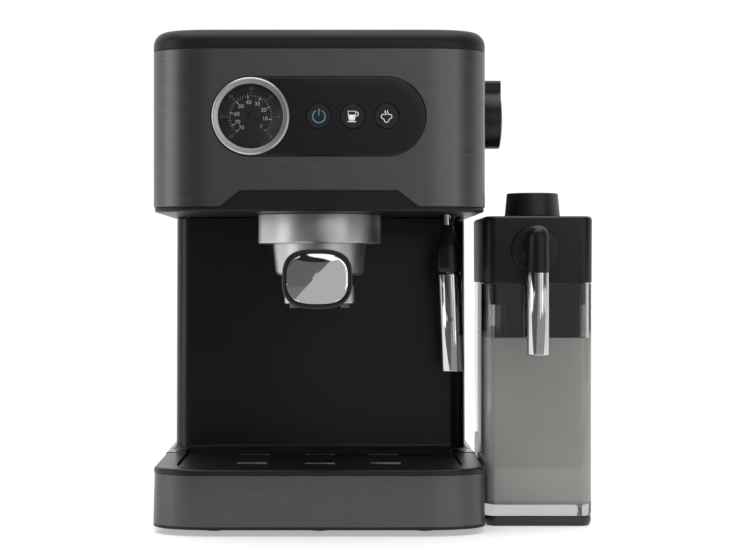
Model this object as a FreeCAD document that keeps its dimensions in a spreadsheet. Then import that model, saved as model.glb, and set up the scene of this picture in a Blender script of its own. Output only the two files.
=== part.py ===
"""Pump espresso machine with a steam wand, a rear water tank and a milk jug beside it.

Lengths are millimetres. Every piece is drawn in machine coordinates: X is measured from the
machine's centre plane, Y runs back from the front plane and Z up from the table. The frame
origin is under the middle of the whole assembly, so each body is placed back by that much.
"""
import FreeCAD
import Part
import math
import os

import Sketcher

Vector = FreeCAD.Vector
doc = FreeCAD.newDocument("espresso_machine")

# ---------------------------------------------------------------------------------------------
# Driving dimensions
# ---------------------------------------------------------------------------------------------
DIMENSIONS = [
    ("case_half", 105.0, "half width of the head"),
    ("base_half", 105.2, "half width of the base"),
    ("soft_front", 80.5, "where the front plane's line meets the corner's slanted line"),
    ("soft_side", 12.8, "where the side plane's line meets the corner's slanted line"),
    ("soft_long_radius", 54.0, "corner radius next to the front plane"),
    ("soft_short_radius", 23.0, "corner radius next to the side plane"),
    ("case_back", 222.0, "back of the head and of the column"),
    ("base_back", 288.0, "back of the base"),
    ("back_radius", 9.0, "vertical edges at the back"),
    ("head_floor", 202.0, "underside of the head"),
    ("band_low", 205.3, "lower edge of the head's metal wrap"),
    ("band_high", 303.5, "upper edge of the head's metal wrap"),
    ("head_top", 316.0, "top of the head"),
    ("lid_round", 9.0, "rounding of the lid's upper edge"),
    ("notch_low", 62.0, "half width of the wrap's notch at its lower edge"),
    ("notch_high", 49.0, "half width of the wrap's notch at its top"),
    ("notch_top", 215.4, "top of the wrap's notch"),
    ("sheet_metal", 1.0, "thickness of the metal wraps"),
    ("plastic", 2.4, "wall of the moulded housings"),
    ("panel_level", 261.1, "height of the control panel's centre line"),
    ("panel_half", 24.6, "half height of the control panel"),
    ("panel_left", -42.4, "centre of the panel's left end, and of the gauge"),
    ("panel_right", 41.8, "centre of the panel's right end"),
    ("gauge_radius", 24.2, "outer radius of the gauge bezel"),
    ("dial_radius", 20.3, "radius of the gauge dial"),
    ("button_radius", 7.5, "radius of a push button"),
    ("button_pitch", 21.0, "distance between push buttons"),
    ("group_depth", 62.0, "brew group's axis behind the front plane"),
    ("ring_radius", 40.0, "outer radius of the group ring"),
    ("ring_low", 182.6, "underside of the group ring"),
    ("bowl_radius", 29.5, "outer radius of the portafilter"),
    ("bowl_low", 161.7, "underside of the portafilter"),
    ("spout_half", 22.8, "half width of the double spout"),
    ("spout_low", 143.5, "underside of the double spout"),
    ("spout_high", 157.0, "top of the double spout"),
    ("outlet_offset", 16.6, "distance of each coffee outlet from the centre plane"),
    ("outlet_r", 3.1, "radius of the coffee outlets"),
    ("outlet_low", 140.8, "end of the coffee outlets"),
    ("handle_end", -115.0, "end face of the portafilter handle"),
    ("handle_level", 160.7, "height of the handle's end"),
    ("handle_wide", 40.0, "width of the handle's end"),
    ("handle_tall", 34.0, "height of the handle's end"),
    ("wand_side", 84.0, "steam wand's pivot from the centre plane"),
    ("wand_depth", 80.0, "steam wand's pivot behind the front plane"),
    ("wand_pivot", 208.0, "height of the steam wand's ball"),
    ("ball_radius", 5.0, "steam wand's ball"),
    ("pipe_radius", 2.2, "steam wand's pipe"),
    ("sleeve_radius", 7.75, "frothing sleeve"),
    ("knob_depth", 75.0, "steam knob's axis behind the front plane"),
    ("knob_level", 264.5, "height of the steam knob's axis"),
    ("knob_radius", 19.0, "radius of the steam knob"),
    ("knob_face", 119.9, "outer face of the steam knob"),
    ("column_half", 100.3, "half width of the column"),
    ("column_front", 131.5, "front of the column"),
    ("column_round", 12.0, "front edges of the column"),
    ("base_low", 4.0, "underside of the base"),
    ("base_band_low", 5.7, "lower edge of the base's metal wrap"),
    ("base_band_high", 37.9, "upper edge of the base's metal wrap"),
    ("base_top", 41.5, "top of the drip tray's rim"),
    ("deck_top", 44.0, "deck under the water tank"),
    ("tray_split", 115.0, "back edge of the drawer's front"),
    ("tongue_half", 91.5, "half width of the tray behind its front"),
    ("tray_back", 131.0, "back of the drip tray"),
    ("tank_half", 88.0, "half width of the water tank"),
    ("tank_front", 229.0, "front of the water tank"),
    ("tank_back", 285.0, "back of the water tank"),
    ("tank_low", 46.2, "underside of the water tank"),
    ("tank_high", 300.0, "rim of the water tank"),
    ("tank_axis", 257.0, "tank's outlet behind the front plane"),
    ("hinge_depth", 288.9, "tank cover's hinge axis behind the front plane"),
    ("hinge_level", 301.0, "height of the tank cover's hinge axis"),
    ("hinge_pin", 1.1, "radius of the tank cover's hinge pin"),
    ("jug_left", 106.2, "side of the milk jug next to the machine"),
    ("jug_right", 176.9, "far side of the milk jug"),
    ("jug_front", 48.0, "front of the milk jug"),
    ("jug_back", 150.0, "back of the milk jug"),
    ("jug_wall", 3.0, "wall of the milk jug"),
    ("jug_floor", 13.9, "thickness of the jug's clear floor"),
    ("jug_rim", 157.0, "rim of the milk jug"),
    ("jug_lid_low", 157.3, "lower edge of the jug's lid"),
    ("jug_lid_high", 200.5, "top of the jug's lid"),
    ("froth_side", 142.6, "froth knob's axis from the centre plane"),
    ("froth_depth", 100.0, "froth knob's axis behind the front plane"),
    ("froth_top", 217.0, "top of the froth knob"),
    ("milk_side", 139.0, "milk spout from the centre plane"),
    ("milk_depth", 28.0, "milk spout behind the front plane"),
    ("milk_level", 179.0, "height of the milk spout's pivot"),
    ("milk_low", 111.6, "end of the milk spout"),
    ("gland_reach", 3.0, "how far the cord gland stands out at the back"),
    ("running", 0.05, "radial clearance of a running fit"),
]

sheet = doc.addObject("Spreadsheet::Sheet", "Dimensions")


class Size:
    """A length that knows both its value and the spreadsheet expression it comes from."""

    def __init__(self, value, text=None):
        self.value = float(value)
        self.text = text if text is not None else repr(round(self.value, 6))

    def __add__(self, other):
        other = size(other)
        return Size(self.value + other.value, "(%s + %s)" % (self.text, other.text))

    def __sub__(self, other):
        other = size(other)
        return Size(self.value - other.value, "(%s - %s)" % (self.text, other.text))

    def __mul__(self, other):
        other = size(other)
        return Size(self.value * other.value, "(%s * %s)" % (self.text, other.text))

    def __truediv__(self, other):
        other = size(other)
        return Size(self.value / other.value, "(%s / %s)" % (self.text, other.text))

    def __radd__(self, other):
        return size(other) + self

    def __rsub__(self, other):
        return size(other) - self

    def __rmul__(self, other):
        return size(other) * self

    def __neg__(self):
        return Size(-self.value, "(0 - %s)" % self.text)


def size(number):
    """A Size from a Size or a plain number."""
    return number if isinstance(number, Size) else Size(number)


class Cells:
    """The driving dimensions by name, written into the spreadsheet."""

    def __init__(self, rows):
        for row, (alias, value, note) in enumerate(rows, start=1):
            sheet.set("A%d" % row, note)
            sheet.set("B%d" % row, str(value))
            sheet.setAlias("B%d" % row, alias)
            setattr(self, alias, Size(value, "Dimensions." + alias))


D = Cells(DIMENSIONS)
doc.recompute()

shift_side = (D.jug_right - D.base_half) / 2
shift_depth = (D.base_back + D.gland_reach + D.handle_end) / 2
soft_turn = math.degrees(math.atan2(D.soft_side.value, D.case_half.value - D.soft_front.value))
front_slope = math.tan(math.radians(soft_turn / 2))
side_slope = math.tan(math.radians(45 - soft_turn / 2))

SCALE_ZERO = 133.5    # degrees, clockwise from straight up, where the gauge's scales begin


# ---------------------------------------------------------------------------------------------
# Sketch outlines: each returns a function that draws itself into a sketch
# ---------------------------------------------------------------------------------------------
def locate(sketch, element, point, across, along):
    """Ties one point of a sketch element to its two coordinates."""
    for kind, coordinate in (("DistanceX", across), ("DistanceY", along)):
        number = sketch.addConstraint(Sketcher.Constraint(kind, -1, 1, element, point, coordinate.value))
        sketch.setExpression("Constraints[%d]" % number, coordinate.text)


def set_radius(sketch, element, radius):
    number = sketch.addConstraint(Sketcher.Constraint("Radius", element, radius.value))
    sketch.setExpression("Constraints[%d]" % number, radius.text)


def circle(across, along, radius):
    across, along, radius = size(across), size(along), size(radius)

    def draw(sketch):
        centre = Vector(across.value, along.value, 0)
        element = sketch.addGeometry(Part.Circle(centre, Vector(0, 0, 1), radius.value), False)
        set_radius(sketch, element, radius)
        locate(sketch, element, 3, across, along)
    return draw


def stadium(left, right, along, radius):
    """Two half circles of one radius joined by straight lines."""
    left, right, along, radius = size(left), size(right), size(along), size(radius)

    def draw(sketch):
        r, up = radius.value, Vector(0, 0, 1)
        centres = [Vector(left.value, along.value, 0), Vector(right.value, along.value, 0)]
        ends = [(math.pi / 2, 3 * math.pi / 2), (-math.pi / 2, math.pi / 2)]
        arcs = [sketch.addGeometry(Part.ArcOfCircle(Part.Circle(c, up, r), a, b), False)
                for c, (a, b) in zip(centres, ends)]
        low = sketch.addGeometry(Part.LineSegment(centres[0] - Vector(0, r, 0),
                                                  centres[1] - Vector(0, r, 0)), False)
        high = sketch.addGeometry(Part.LineSegment(centres[1] + Vector(0, r, 0),
                                                   centres[0] + Vector(0, r, 0)), False)
        for first, end, second, start in ((arcs[0], 2, low, 1), (low, 2, arcs[1], 1),
                                          (arcs[1], 2, high, 1), (high, 2, arcs[0], 1)):
            sketch.addConstraint(Sketcher.Constraint("Tangent", first, end, second, start))
        for arc, across in zip(arcs, (left, right)):
            set_radius(sketch, arc, radius)
            locate(sketch, arc, 3, across, along)
    return draw


def polygon(*corners):
    """A closed outline through corners (across, along) or, for a rounded one, with a radius."""
    places = [(size(corner[0]), size(corner[1])) for corner in corners]
    radii = [size(corner[2]) if len(corner) > 2 else None for corner in corners]

    def draw(sketch):
        count = len(places)
        points = [Vector(across.value, along.value, 0) for across, along in places]
        arrive, leave, arcs = [], [], []
        for index, radius in enumerate(radii):
            here = points[index]
            back = (points[index - 1] - here).normalize()
            ahead = (points[(index + 1) % count] - here).normalize()
            if radius is None:
                arrive.append(here)
                leave.append(here)
                arcs.append(None)
                continue
            half = back.getAngle(ahead) / 2
            reach = radius.value / math.tan(half)
            bisector = (back + ahead).normalize()
            centre = here + bisector * (radius.value / math.sin(half))
            arrive.append(here + back * reach)
            leave.append(here + ahead * reach)
            left_turn = back.cross(ahead).z < 0
            start, end = (arrive[-1], leave[-1]) if left_turn else (leave[-1], arrive[-1])
            angles = [math.atan2(p.y - centre.y, p.x - centre.x) for p in (start, end)]
            if angles[1] < angles[0]:
                angles[1] += 2 * math.pi
            arcs.append((Part.ArcOfCircle(Part.Circle(centre, Vector(0, 0, 1), radius.value),
                                          *angles), left_turn))
        lines = [sketch.addGeometry(Part.LineSegment(leave[i], arrive[(i + 1) % count]), False)
                 for i in range(count)]
        for index, radius in enumerate(radii):
            before, after = lines[index - 1], lines[index]
            if radius is None:
                sketch.addConstraint(Sketcher.Constraint("Coincident", before, 2, after, 1))
                locate(sketch, after, 1, *places[index])
                continue
            curve, left_turn = arcs[index]
            arc = sketch.addGeometry(curve, False)
            first, last = (1, 2) if left_turn else (2, 1)
            sketch.addConstraint(Sketcher.Constraint("Tangent", before, 2, arc, first))
            sketch.addConstraint(Sketcher.Constraint("Tangent", arc, last, after, 1))
            corner = sketch.addGeometry(Part.Point(points[index]), True)
            sketch.addConstraint(Sketcher.Constraint("PointOnObject", corner, 1, before))
            sketch.addConstraint(Sketcher.Constraint("PointOnObject", corner, 1, after))
            locate(sketch, corner, 1, *places[index])
            set_radius(sketch, arc, radius)
    return draw


def rectangle(left, right, low, high, *radii):
    """An upright rectangle; radii are none, one for all corners, or (low side, high side)."""
    if not radii:
        return polygon((left, low), (right, low), (right, high), (left, high))
    near, far = radii[0], radii[-1]
    return polygon((left, low, near), (right, low, near), (right, high, far), (left, high, far))


def soft_outline(half, inset, back, square_back=False):
    """The case seen from above: a flat front, two-radius front corners and a straight back."""
    half, inset, back = size(half), size(inset), size(back)
    side = half - inset
    front_reach = D.soft_front + (half - D.case_half) - inset * front_slope
    side_reach = D.soft_side + inset * side_slope
    long_radius, short_radius = D.soft_long_radius - inset, D.soft_short_radius - inset
    back_corner = () if square_back else (D.back_radius - inset,)
    return polygon((-front_reach, inset, long_radius), (front_reach, inset, long_radius),
                   (side, side_reach, short_radius), (side, back) + back_corner,
                   (-side, back) + back_corner, (-side, side_reach, short_radius))


# ---------------------------------------------------------------------------------------------
# Pieces
# ---------------------------------------------------------------------------------------------
pieces = {}


def place(thing, across=0, depth=0, level=0):
    """Puts a piece into the assembly's frame."""
    for axis, where in (("x", size(across) - shift_side), ("y", size(depth) - shift_depth),
                        ("z", size(level))):
        setattr(thing.Placement.Base, axis, where.value)
        thing.setExpression("Placement.Base." + axis, where.text)


class Piece:
    """One PartDesign body, built up by pads, cuts and turned profiles."""

    NORMAL = {"XY": 1, "XZ": -1, "YZ": 1}

    def __init__(self, name, across=0, depth=0, level=0):
        self.name = name
        self.body = doc.addObject("PartDesign::Body", name)
        self.body.Label = name
        self.volume = 0.0
        place(self.body, across, depth, level)
        pieces[name] = self.body

    def sketch(self, plane, level, outlines):
        role = plane + "_Plane"
        support = [f for f in self.body.Origin.OriginFeatures if f.Role == role][0]
        sketch = self.body.newObject("Sketcher::SketchObject", self.name + "_sketch")
        sketch.AttachmentSupport = [(support, "")]
        sketch.MapMode = "FlatFace"
        offset = size(level) * self.NORMAL[plane]
        sketch.setExpression("AttachmentOffset.Base.z", offset.text)
        for outline in outlines:
            outline(sketch)
        return sketch

    def finish(self, feature, adds):
        """Recomputes a feature and makes sure that it added or removed material."""
        feature.recompute(True)
        after = feature.Shape.Volume
        changed = after > self.volume + 1e-6 if adds else after < self.volume - 1e-6
        if not changed:
            raise ValueError("%s in %s changed nothing" % (feature.Name, self.name))
        self.volume = after
        self.feature = feature
        return self

    def extrude(self, kind, plane, low, high, outlines):
        low, high = size(low), size(high)
        adds = kind == "Pad"
        starts_low = (self.NORMAL[plane] == 1) == adds
        sketch = self.sketch(plane, low if starts_low else high, outlines)
        feature = self.body.newObject("PartDesign::" + kind, self.name + "_" + kind.lower())
        feature.Profile = sketch
        feature.setExpression("Length", (high - low).text)
        doc.recompute([sketch])
        return self.finish(feature, adds)

    def pad(self, plane, low, high, *outlines):
        """Adds material between two levels of the plane's normal axis."""
        return self.extrude("Pad", plane, low, high, outlines)

    def cut(self, plane, low, high, *outlines):
        """Removes material between two levels of the plane's normal axis."""
        return self.extrude("Pocket", plane, low, high, outlines)

    def turn(self, plane, axis, *outlines, adds=True):
        """Turns a profile about a sketch axis through the body's own origin."""
        sketch = self.sketch(plane, 0, outlines)
        kind = "Revolution" if adds else "Groove"
        feature = self.body.newObject("PartDesign::" + kind, self.name + "_" + kind.lower())
        feature.Profile = sketch
        feature.ReferenceAxis = (sketch, [axis])
        feature.Angle = 360
        doc.recompute([sketch])
        return self.finish(feature, adds)

    def round_edges(self, radius, choose, kind="Fillet"):
        """Rounds every edge of the last feature that the test accepts."""
        shape = self.feature.Shape
        edges = ["Edge%d" % n for n, edge in enumerate(shape.Edges, start=1) if choose(edge)]
        feature = self.body.newObject("PartDesign::" + kind, self.name + "_" + kind.lower())
        feature.Base = (self.feature, edges)
        measure = "Radius" if kind == "Fillet" else "Size"
        feature.setExpression(measure, size(radius).text)
        feature.recompute(True)
        self.volume = feature.Shape.Volume
        self.feature = feature
        return self

    def ball(self, radius):
        feature = self.body.newObject("PartDesign::AdditiveSphere", self.name + "_ball")
        feature.setExpression("Radius", size(radius).text)
        return self.finish(feature, True)

    def around(self, count):
        """Repeats the last feature evenly about the body's Z axis."""
        axis = [f for f in self.body.Origin.OriginFeatures if f.Role == "Z_Axis"][0]
        feature = self.body.newObject("PartDesign::PolarPattern", self.name + "_pattern")
        feature.Originals = [self.feature]
        feature.Axis = (axis, [""])
        feature.Angle = 360
        feature.Occurrences = count
        self.body.Tip = feature
        feature.recompute(True)
        self.volume = feature.Shape.Volume
        self.feature = feature
        return self

    def along(self, axis, pitch, count):
        """Repeats the last feature in a straight row along one of the body's axes."""
        line = [f for f in self.body.Origin.OriginFeatures if f.Role == axis + "_Axis"][0]
        feature = self.body.newObject("PartDesign::LinearPattern", self.name + "_row")
        feature.Originals = [self.feature]
        feature.Direction = (line, [""])
        feature.setExpression("Length", (size(pitch) * (count - 1)).text)
        feature.Occurrences = count
        self.body.Tip = feature
        feature.recompute(True)
        self.volume = feature.Shape.Volume
        self.feature = feature
        return self

    def loft(self, plane, *sections):
        """Joins outlines at several levels into one solid."""
        sketches = [self.sketch(plane, level, [outline]) for level, outline in sections]
        feature = self.body.newObject("PartDesign::AdditiveLoft", self.name + "_loft")
        feature.Profile = sketches[0]
        feature.Sections = sketches[1:]
        doc.recompute(sketches)
        return self.finish(feature, True)


def level_is(height, tolerance=0.01):
    """Accepts edges that lie flat at one height."""
    def test(edge):
        box = edge.BoundBox
        return abs(box.ZMin - height.value) < tolerance and abs(box.ZMax - height.value) < tolerance
    return test


def group(name, members):
    """Identical small parts that share one node."""
    thing = doc.addObject("Part::Compound", name)
    thing.Label = name
    thing.Links = members
    pieces[name] = thing
    return thing


def cylinder(name, across, depth, level, radius, height):
    """An upright cylinder, for fasteners and other small round parts."""
    thing = doc.addObject("Part::Cylinder", name)
    thing.setExpression("Radius", size(radius).text)
    thing.setExpression("Height", size(height).text)
    place(thing, across, depth, level)
    return thing


def hose(name, points, outer, inner, bend):
    """A tube along straight runs that are joined by tangent arcs."""
    shift = Vector(shift_side.value, shift_depth.value, 0)
    route = [Vector(*[size(c).value for c in point]) - shift for point in points]
    edges, start = [], route[0]
    for before, here, after in zip(route, route[1:], route[2:]):
        back, ahead = (before - here).normalize(), (after - here).normalize()
        half = back.getAngle(ahead) / 2
        reach = bend / math.tan(half)
        first, last = here + back * reach, here + ahead * reach
        middle = here + (back + ahead).normalize() * (bend / math.sin(half) - bend)
        edges += [Part.LineSegment(start, first).toShape(), Part.Arc(first, middle, last).toShape()]
        start = last
    edges.append(Part.LineSegment(start, route[-1]).toShape())
    path = Part.Wire(edges)
    direction = route[1] - route[0]
    tubes = []
    for radius in (outer, inner):
        ring = Part.Wire([Part.Circle(route[0], direction, radius).toShape()])
        tubes.append(path.makePipeShell([ring], True, False))
    thing = doc.addObject("Part::Feature", name)
    thing.Label = name
    thing.Shape = tubes[0].cut(tubes[1])
    thing.Placement = FreeCAD.Placement()
    pieces[name] = thing


# ---------------------------------------------------------------------------------------------
# Base, drip tray and feet
# ---------------------------------------------------------------------------------------------
def make_base():
    wall = D.sheet_metal + 0.2
    inside = D.base_half - wall - D.plastic
    pan = Piece("base_pan")
    pan.pad("XY", D.base_low, D.base_band_low - 0.2, soft_outline(D.base_half, 0, D.base_back))
    pan.pad("XY", D.base_band_low - 0.2, 7.0, soft_outline(D.base_half, wall, D.base_back - wall))
    pan.pad("XY", 7.0, D.base_band_high - 0.3,
            rectangle(-D.base_half + wall, D.base_half - wall, D.tray_split + 0.3,
                      D.base_back - wall, 1.0, D.back_radius - wall))
    pan.cut("XY", 7.0, D.base_band_high, rectangle(-D.tongue_half - 0.4, D.tongue_half + 0.4,
                                                   D.tray_split, D.tray_back + 0.4))
    pan.cut("XY", 7.0, D.base_band_high, rectangle(-inside, inside, D.tray_back + 2.8,
                                                   D.base_back - wall - D.plastic, 4.0))
    pan.cut("XZ", D.base_back - 5, D.base_back, circle(70, 22, 6.3))

    band = Piece("base_band")
    band.pad("XY", D.base_band_low, D.base_band_high, soft_outline(D.base_half, 0, D.base_back))
    band.cut("XY", D.base_band_low, D.base_band_high,
             soft_outline(D.base_half, D.sheet_metal, D.base_back - D.sheet_metal))
    band.cut("XY", D.base_band_low, D.base_band_high,
             rectangle(-120, 120, -10, D.tray_split + 0.3))
    band.cut("XZ", D.base_back - 5, D.base_back + 1, circle(70, 22, 6.3))

    gland = Piece("cord_gland", 70, D.base_back, 22)
    gland.turn("XY", "V_Axis", polygon((3.6, -7), (8.6, -7), (8.6, -5), (6.1, -5), (6.1, 0),
                                       (7.5, 0), (6.0, D.gland_reach), (3.6, D.gland_reach)))

    front_feet, back_feet = 33, 262
    spots = [(-67, front_feet), (0, front_feet), (67, front_feet), (-67, back_feet), (67, back_feet)]
    feet = Piece("feet")
    feet.pad("XY", 0, 1.2, *[circle(x, y, 6.6) for x, y in spots])
    feet.pad("XY", 1.2, D.base_low, *[circle(x, y, 7.4) for x, y in spots])

    screw_spots = [(x, y) for x in (-80, 80) for y in (150, 205, 270)]
    group("case_screws", [cylinder("case_screw", x, y, D.base_low - 1.2, 3.0, 1.2)
                          for x, y in screw_spots])


def make_tray():
    rim_round = 2.2
    tray = Piece("drip_tray")
    tray.pad("XY", D.base_band_high, D.base_top,
             soft_outline(D.base_half, 0.2, D.tray_split, square_back=True))
    tray.round_edges(rim_round, lambda edge: level_is(D.base_top)(edge)
                     and edge.BoundBox.YMin < D.tray_split.value - 1)
    tray.pad("XY", 7.4, D.base_band_high,
             soft_outline(D.base_half, D.sheet_metal + 0.2, D.tray_split, square_back=True))
    tray.pad("XY", 7.4, D.base_top, rectangle(-D.tongue_half, D.tongue_half, 60, D.tray_back))
    tray.cut("XY", 38.0, D.base_top + 1, rectangle(-91.2, 91.2, 6.0, D.tray_back + 1, 30, 1))
    tray.cut("XY", 9.8, D.base_top, rectangle(-89, 89, 8.2, D.tray_back - 2.4, 28, 4))

    grille = Piece("drip_grille")
    grille.pad("XY", 38.2, 39.7, rectangle(-90.9, 90.9, 6.3, D.tray_back - 0.4, 29.7, 1))
    for window in (-44, 0, 43):
        grille.cut("XY", 38, 40, rectangle(window - 9.7, window + 9.7, 58, 62.4)).along("Y", 18, 4)

    band = Piece("tray_band")
    band.pad("XY", D.base_band_low, D.base_band_high - 0.1,
             soft_outline(D.base_half, 0, D.tray_split, square_back=True))
    band.cut("XY", D.base_band_low, D.base_band_high,
             soft_outline(D.base_half, D.sheet_metal, D.tray_split + 2, square_back=True))


# ---------------------------------------------------------------------------------------------
# Column, chassis and rear panel
# ---------------------------------------------------------------------------------------------
def make_column():
    inner = D.column_half - D.plastic
    column = Piece("column_housing")
    column.pad("XY", D.base_band_high + 0.1, D.deck_top,
               rectangle(-D.base_half, D.base_half, D.tray_split + 0.3, D.base_back, 1, D.back_radius))
    column.cut("XY", 37, D.deck_top + 1, rectangle(-D.tongue_half - 0.4, D.tongue_half + 0.4,
                                                   D.tray_split - 1, D.tray_back + 0.4))
    column.pad("XY", D.deck_top, D.head_floor - 0.4,
               rectangle(-D.column_half, D.column_half, D.column_front, D.case_back,
                         D.column_round, 2))
    column.cut("XY", D.deck_top + 2.5, D.head_floor,
               rectangle(-inner, inner, D.column_front + D.plastic, D.case_back + 1, 9.6, 0.5))
    column.cut("XY", 37, D.deck_top - D.plastic,
               rectangle(-D.base_half + 5, D.base_half - 5, D.column_front + 3, D.base_back - 5, 4))
    column.cut("XY", 38, D.deck_top + 4, rectangle(-80, 80, 142, 208, 4),
               circle(0, D.tank_axis, 12.5))

    panel = Piece("rear_panel")
    half = D.column_half - D.plastic - 0.4
    panel.pad("XZ", D.case_back - 2.7, D.case_back - 0.3,
              rectangle(-half, half, D.deck_top + 2.8, D.head_floor - 0.8, 2))
    wide = D.case_half - D.sheet_metal - 0.4
    panel.pad("XZ", D.case_back - 2.7, D.case_back - 0.3,
              rectangle(-wide, wide, D.band_low + 0.3, D.band_high - 0.4, 2))
    panel.pad("XZ", D.case_back - 2.7, D.case_back - 0.3,
              rectangle(-half, half, D.head_floor - 4, D.band_low + 5))
    panel.cut("XZ", D.case_back - 4, D.case_back, rectangle(-61.5, -58.5, 225, 265)).along("X", 10, 13)

    chassis = Piece("chassis")
    chassis.pad("XY", D.deck_top + 2.6, D.deck_top + 4.2, rectangle(-93, 93, 138, 217))
    chassis.pad("XZ", 215.4, 217, rectangle(-93, 93, D.deck_top + 2.6, 298))
    chassis.pad("XY", 218, 219.6, rectangle(-90, 90, 24, 217))
    chassis.cut("XY", 216, 221, circle(0, D.group_depth, 37), circle(68, 150, 9),
                circle(-45, 205, 5))
    chassis.cut("XY", 40, 50, circle(-45, 196, 7), circle(45, 150, 6))


# ---------------------------------------------------------------------------------------------
# Head
# ---------------------------------------------------------------------------------------------
def make_head():
    wrap = Piece("head_wrap")
    wrap.pad("XY", D.band_low, D.band_high, soft_outline(D.case_half, 0, D.case_back, True))
    wrap.cut("XY", D.band_low, D.band_high,
             soft_outline(D.case_half, D.sheet_metal, D.case_back + 2, True))
    wrap.cut("XZ", -1, 20, polygon((-D.notch_low, D.band_low - 1), (D.notch_low, D.band_low - 1),
                                   (D.notch_low, D.band_low, 3), (D.notch_high, D.notch_top, 3),
                                   (-D.notch_high, D.notch_top, 3), (-D.notch_low, D.band_low, 3)))
    wrap.cut("XZ", -1, 20, stadium(D.panel_left, D.panel_right, D.panel_level, D.panel_half + 0.3))
    wrap.cut("YZ", 95, D.case_half + 1, circle(D.knob_depth, D.knob_level, 5.5))

    chin = Piece("head_chin")
    chin.pad("XY", D.head_floor, D.band_low - 0.3, soft_outline(D.case_half, 0.5, D.case_back, True))
    chin.pad("XY", D.band_low - 0.3, 217, soft_outline(D.case_half, D.sheet_metal + 0.2,
                                                       D.case_back, True))
    chin.cut("XY", D.head_floor + D.plastic, 218,
             soft_outline(D.case_half, D.sheet_metal + D.plastic, D.case_back + 4, True))
    chin.cut("XY", 200, 210, circle(0, D.group_depth, 33.6),
             circle(D.wand_side, D.wand_depth, 5.6), rectangle(-97.9, 97.9, 138, D.case_back + 1))
    chin.cut("XY", D.band_low, 218, rectangle(-D.case_half, D.case_half, D.case_back - 3,
                                              D.case_back + 1))

    lid = Piece("head_lid")
    lid.pad("XY", D.band_high, D.head_top, soft_outline(D.case_half, 0, D.case_back))
    lid.round_edges(D.lid_round * 0.9, level_is(D.head_top))
    lid.cut("XY", D.head_top - 1.4, D.head_top, rectangle(-84, 84, 30, 200, 24, 12))
    lid.cut("XY", D.band_high, D.head_top - 4.6, soft_outline(D.case_half, 7, D.case_back - 6))


def make_controls():
    panel = Piece("control_panel")
    panel.pad("XZ", -0.6, 1.2, stadium(D.panel_left, D.panel_right, D.panel_level, D.panel_half))
    panel.pad("XZ", 1.2, 3.4, stadium(D.panel_left, D.panel_right, D.panel_level,
                                      D.panel_half + 3))
    holes = [circle(D.button_pitch * n, D.panel_level, D.button_radius + 0.4) for n in range(3)]
    panel.cut("XZ", -1, 4, circle(D.panel_left, D.panel_level, D.gauge_radius - 1.7), *holes)

    gauge = (D.panel_left, 0, D.panel_level)
    bezel = Piece("gauge_bezel", *gauge)
    bezel.turn("XY", "V_Axis", polygon((D.dial_radius, -0.7), (D.gauge_radius, -0.7),
                                       (D.gauge_radius, -2.2, 1.2), (D.gauge_radius - 2, -3.2, 1.5),
                                       (D.dial_radius, -2.4)))
    bezel.turn("XY", "V_Axis", rectangle(D.dial_radius, D.gauge_radius - 1.8, -0.8, 4.2))
    Piece("gauge_glass", *gauge).turn("XY", "V_Axis", rectangle(0, D.dial_radius, -1.6, -0.7))
    dial = Piece("gauge_dial", *gauge)
    dial.turn("XY", "V_Axis", rectangle(0.8 + D.running, D.dial_radius, 3.2, 4.2))
    movement = Piece("gauge_movement", *gauge)
    movement.turn("XY", "V_Axis", polygon((0.8 + D.running, 4.3), (D.gauge_radius - 1.9, 4.3),
                                          (D.gauge_radius - 1.9, 18, 2), (5, 18), (5, 26),
                                          (0, 26), (0, 8), (0.8 + D.running, 8)))
    needle = Piece("gauge_needle", *gauge)
    needle.turn("XY", "V_Axis", polygon((0, 1.2), (2.6, 1.2, 0.4), (2.6, 2.6), (0.8, 2.6),
                                        (0.8, 7.5), (0, 7.5)))
    needle.pad("XZ", 1.6, 2.2, polygon((-0.6, -5), (0.6, -5), (0.25, 14.5), (-0.25, 14.5)))
    needle.body.Placement.Rotation = FreeCAD.Rotation(Vector(0, 1, 0), SCALE_ZERO)

    for number, name in enumerate(("button_power", "button_brew", "button_steam")):
        button = Piece(name, D.button_pitch * number, 0, D.panel_level)
        button.turn("XY", "V_Axis", polygon((0, -0.9), (D.button_radius, -0.9, 0.8),
                                            (D.button_radius, 4.4), (1.8, 4.4), (1.8, 6.4), (0, 6.4)))
    board = Piece("control_board")
    board.pad("XZ", 12, 13.6, rectangle(-14, 62, 236, 286, 2))
    board.pad("XZ", 13.6, 22, rectangle(22, 40, 266, 282))
    board.cut("XZ", 11, 15, *[circle(x, z, 1.6) for x in (-10, 58) for z in (240, 282)])
    switches = Piece("micro_switches")
    centres = [D.button_pitch * n for n in range(3)]
    switches.pad("XZ", 9, 12, *[rectangle(x - 3, x + 3, D.panel_level - 3, D.panel_level + 3)
                                for x in centres])
    switches.pad("XZ", 7.7, 9, *[circle(x, D.panel_level, 1.6) for x in centres])


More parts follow.
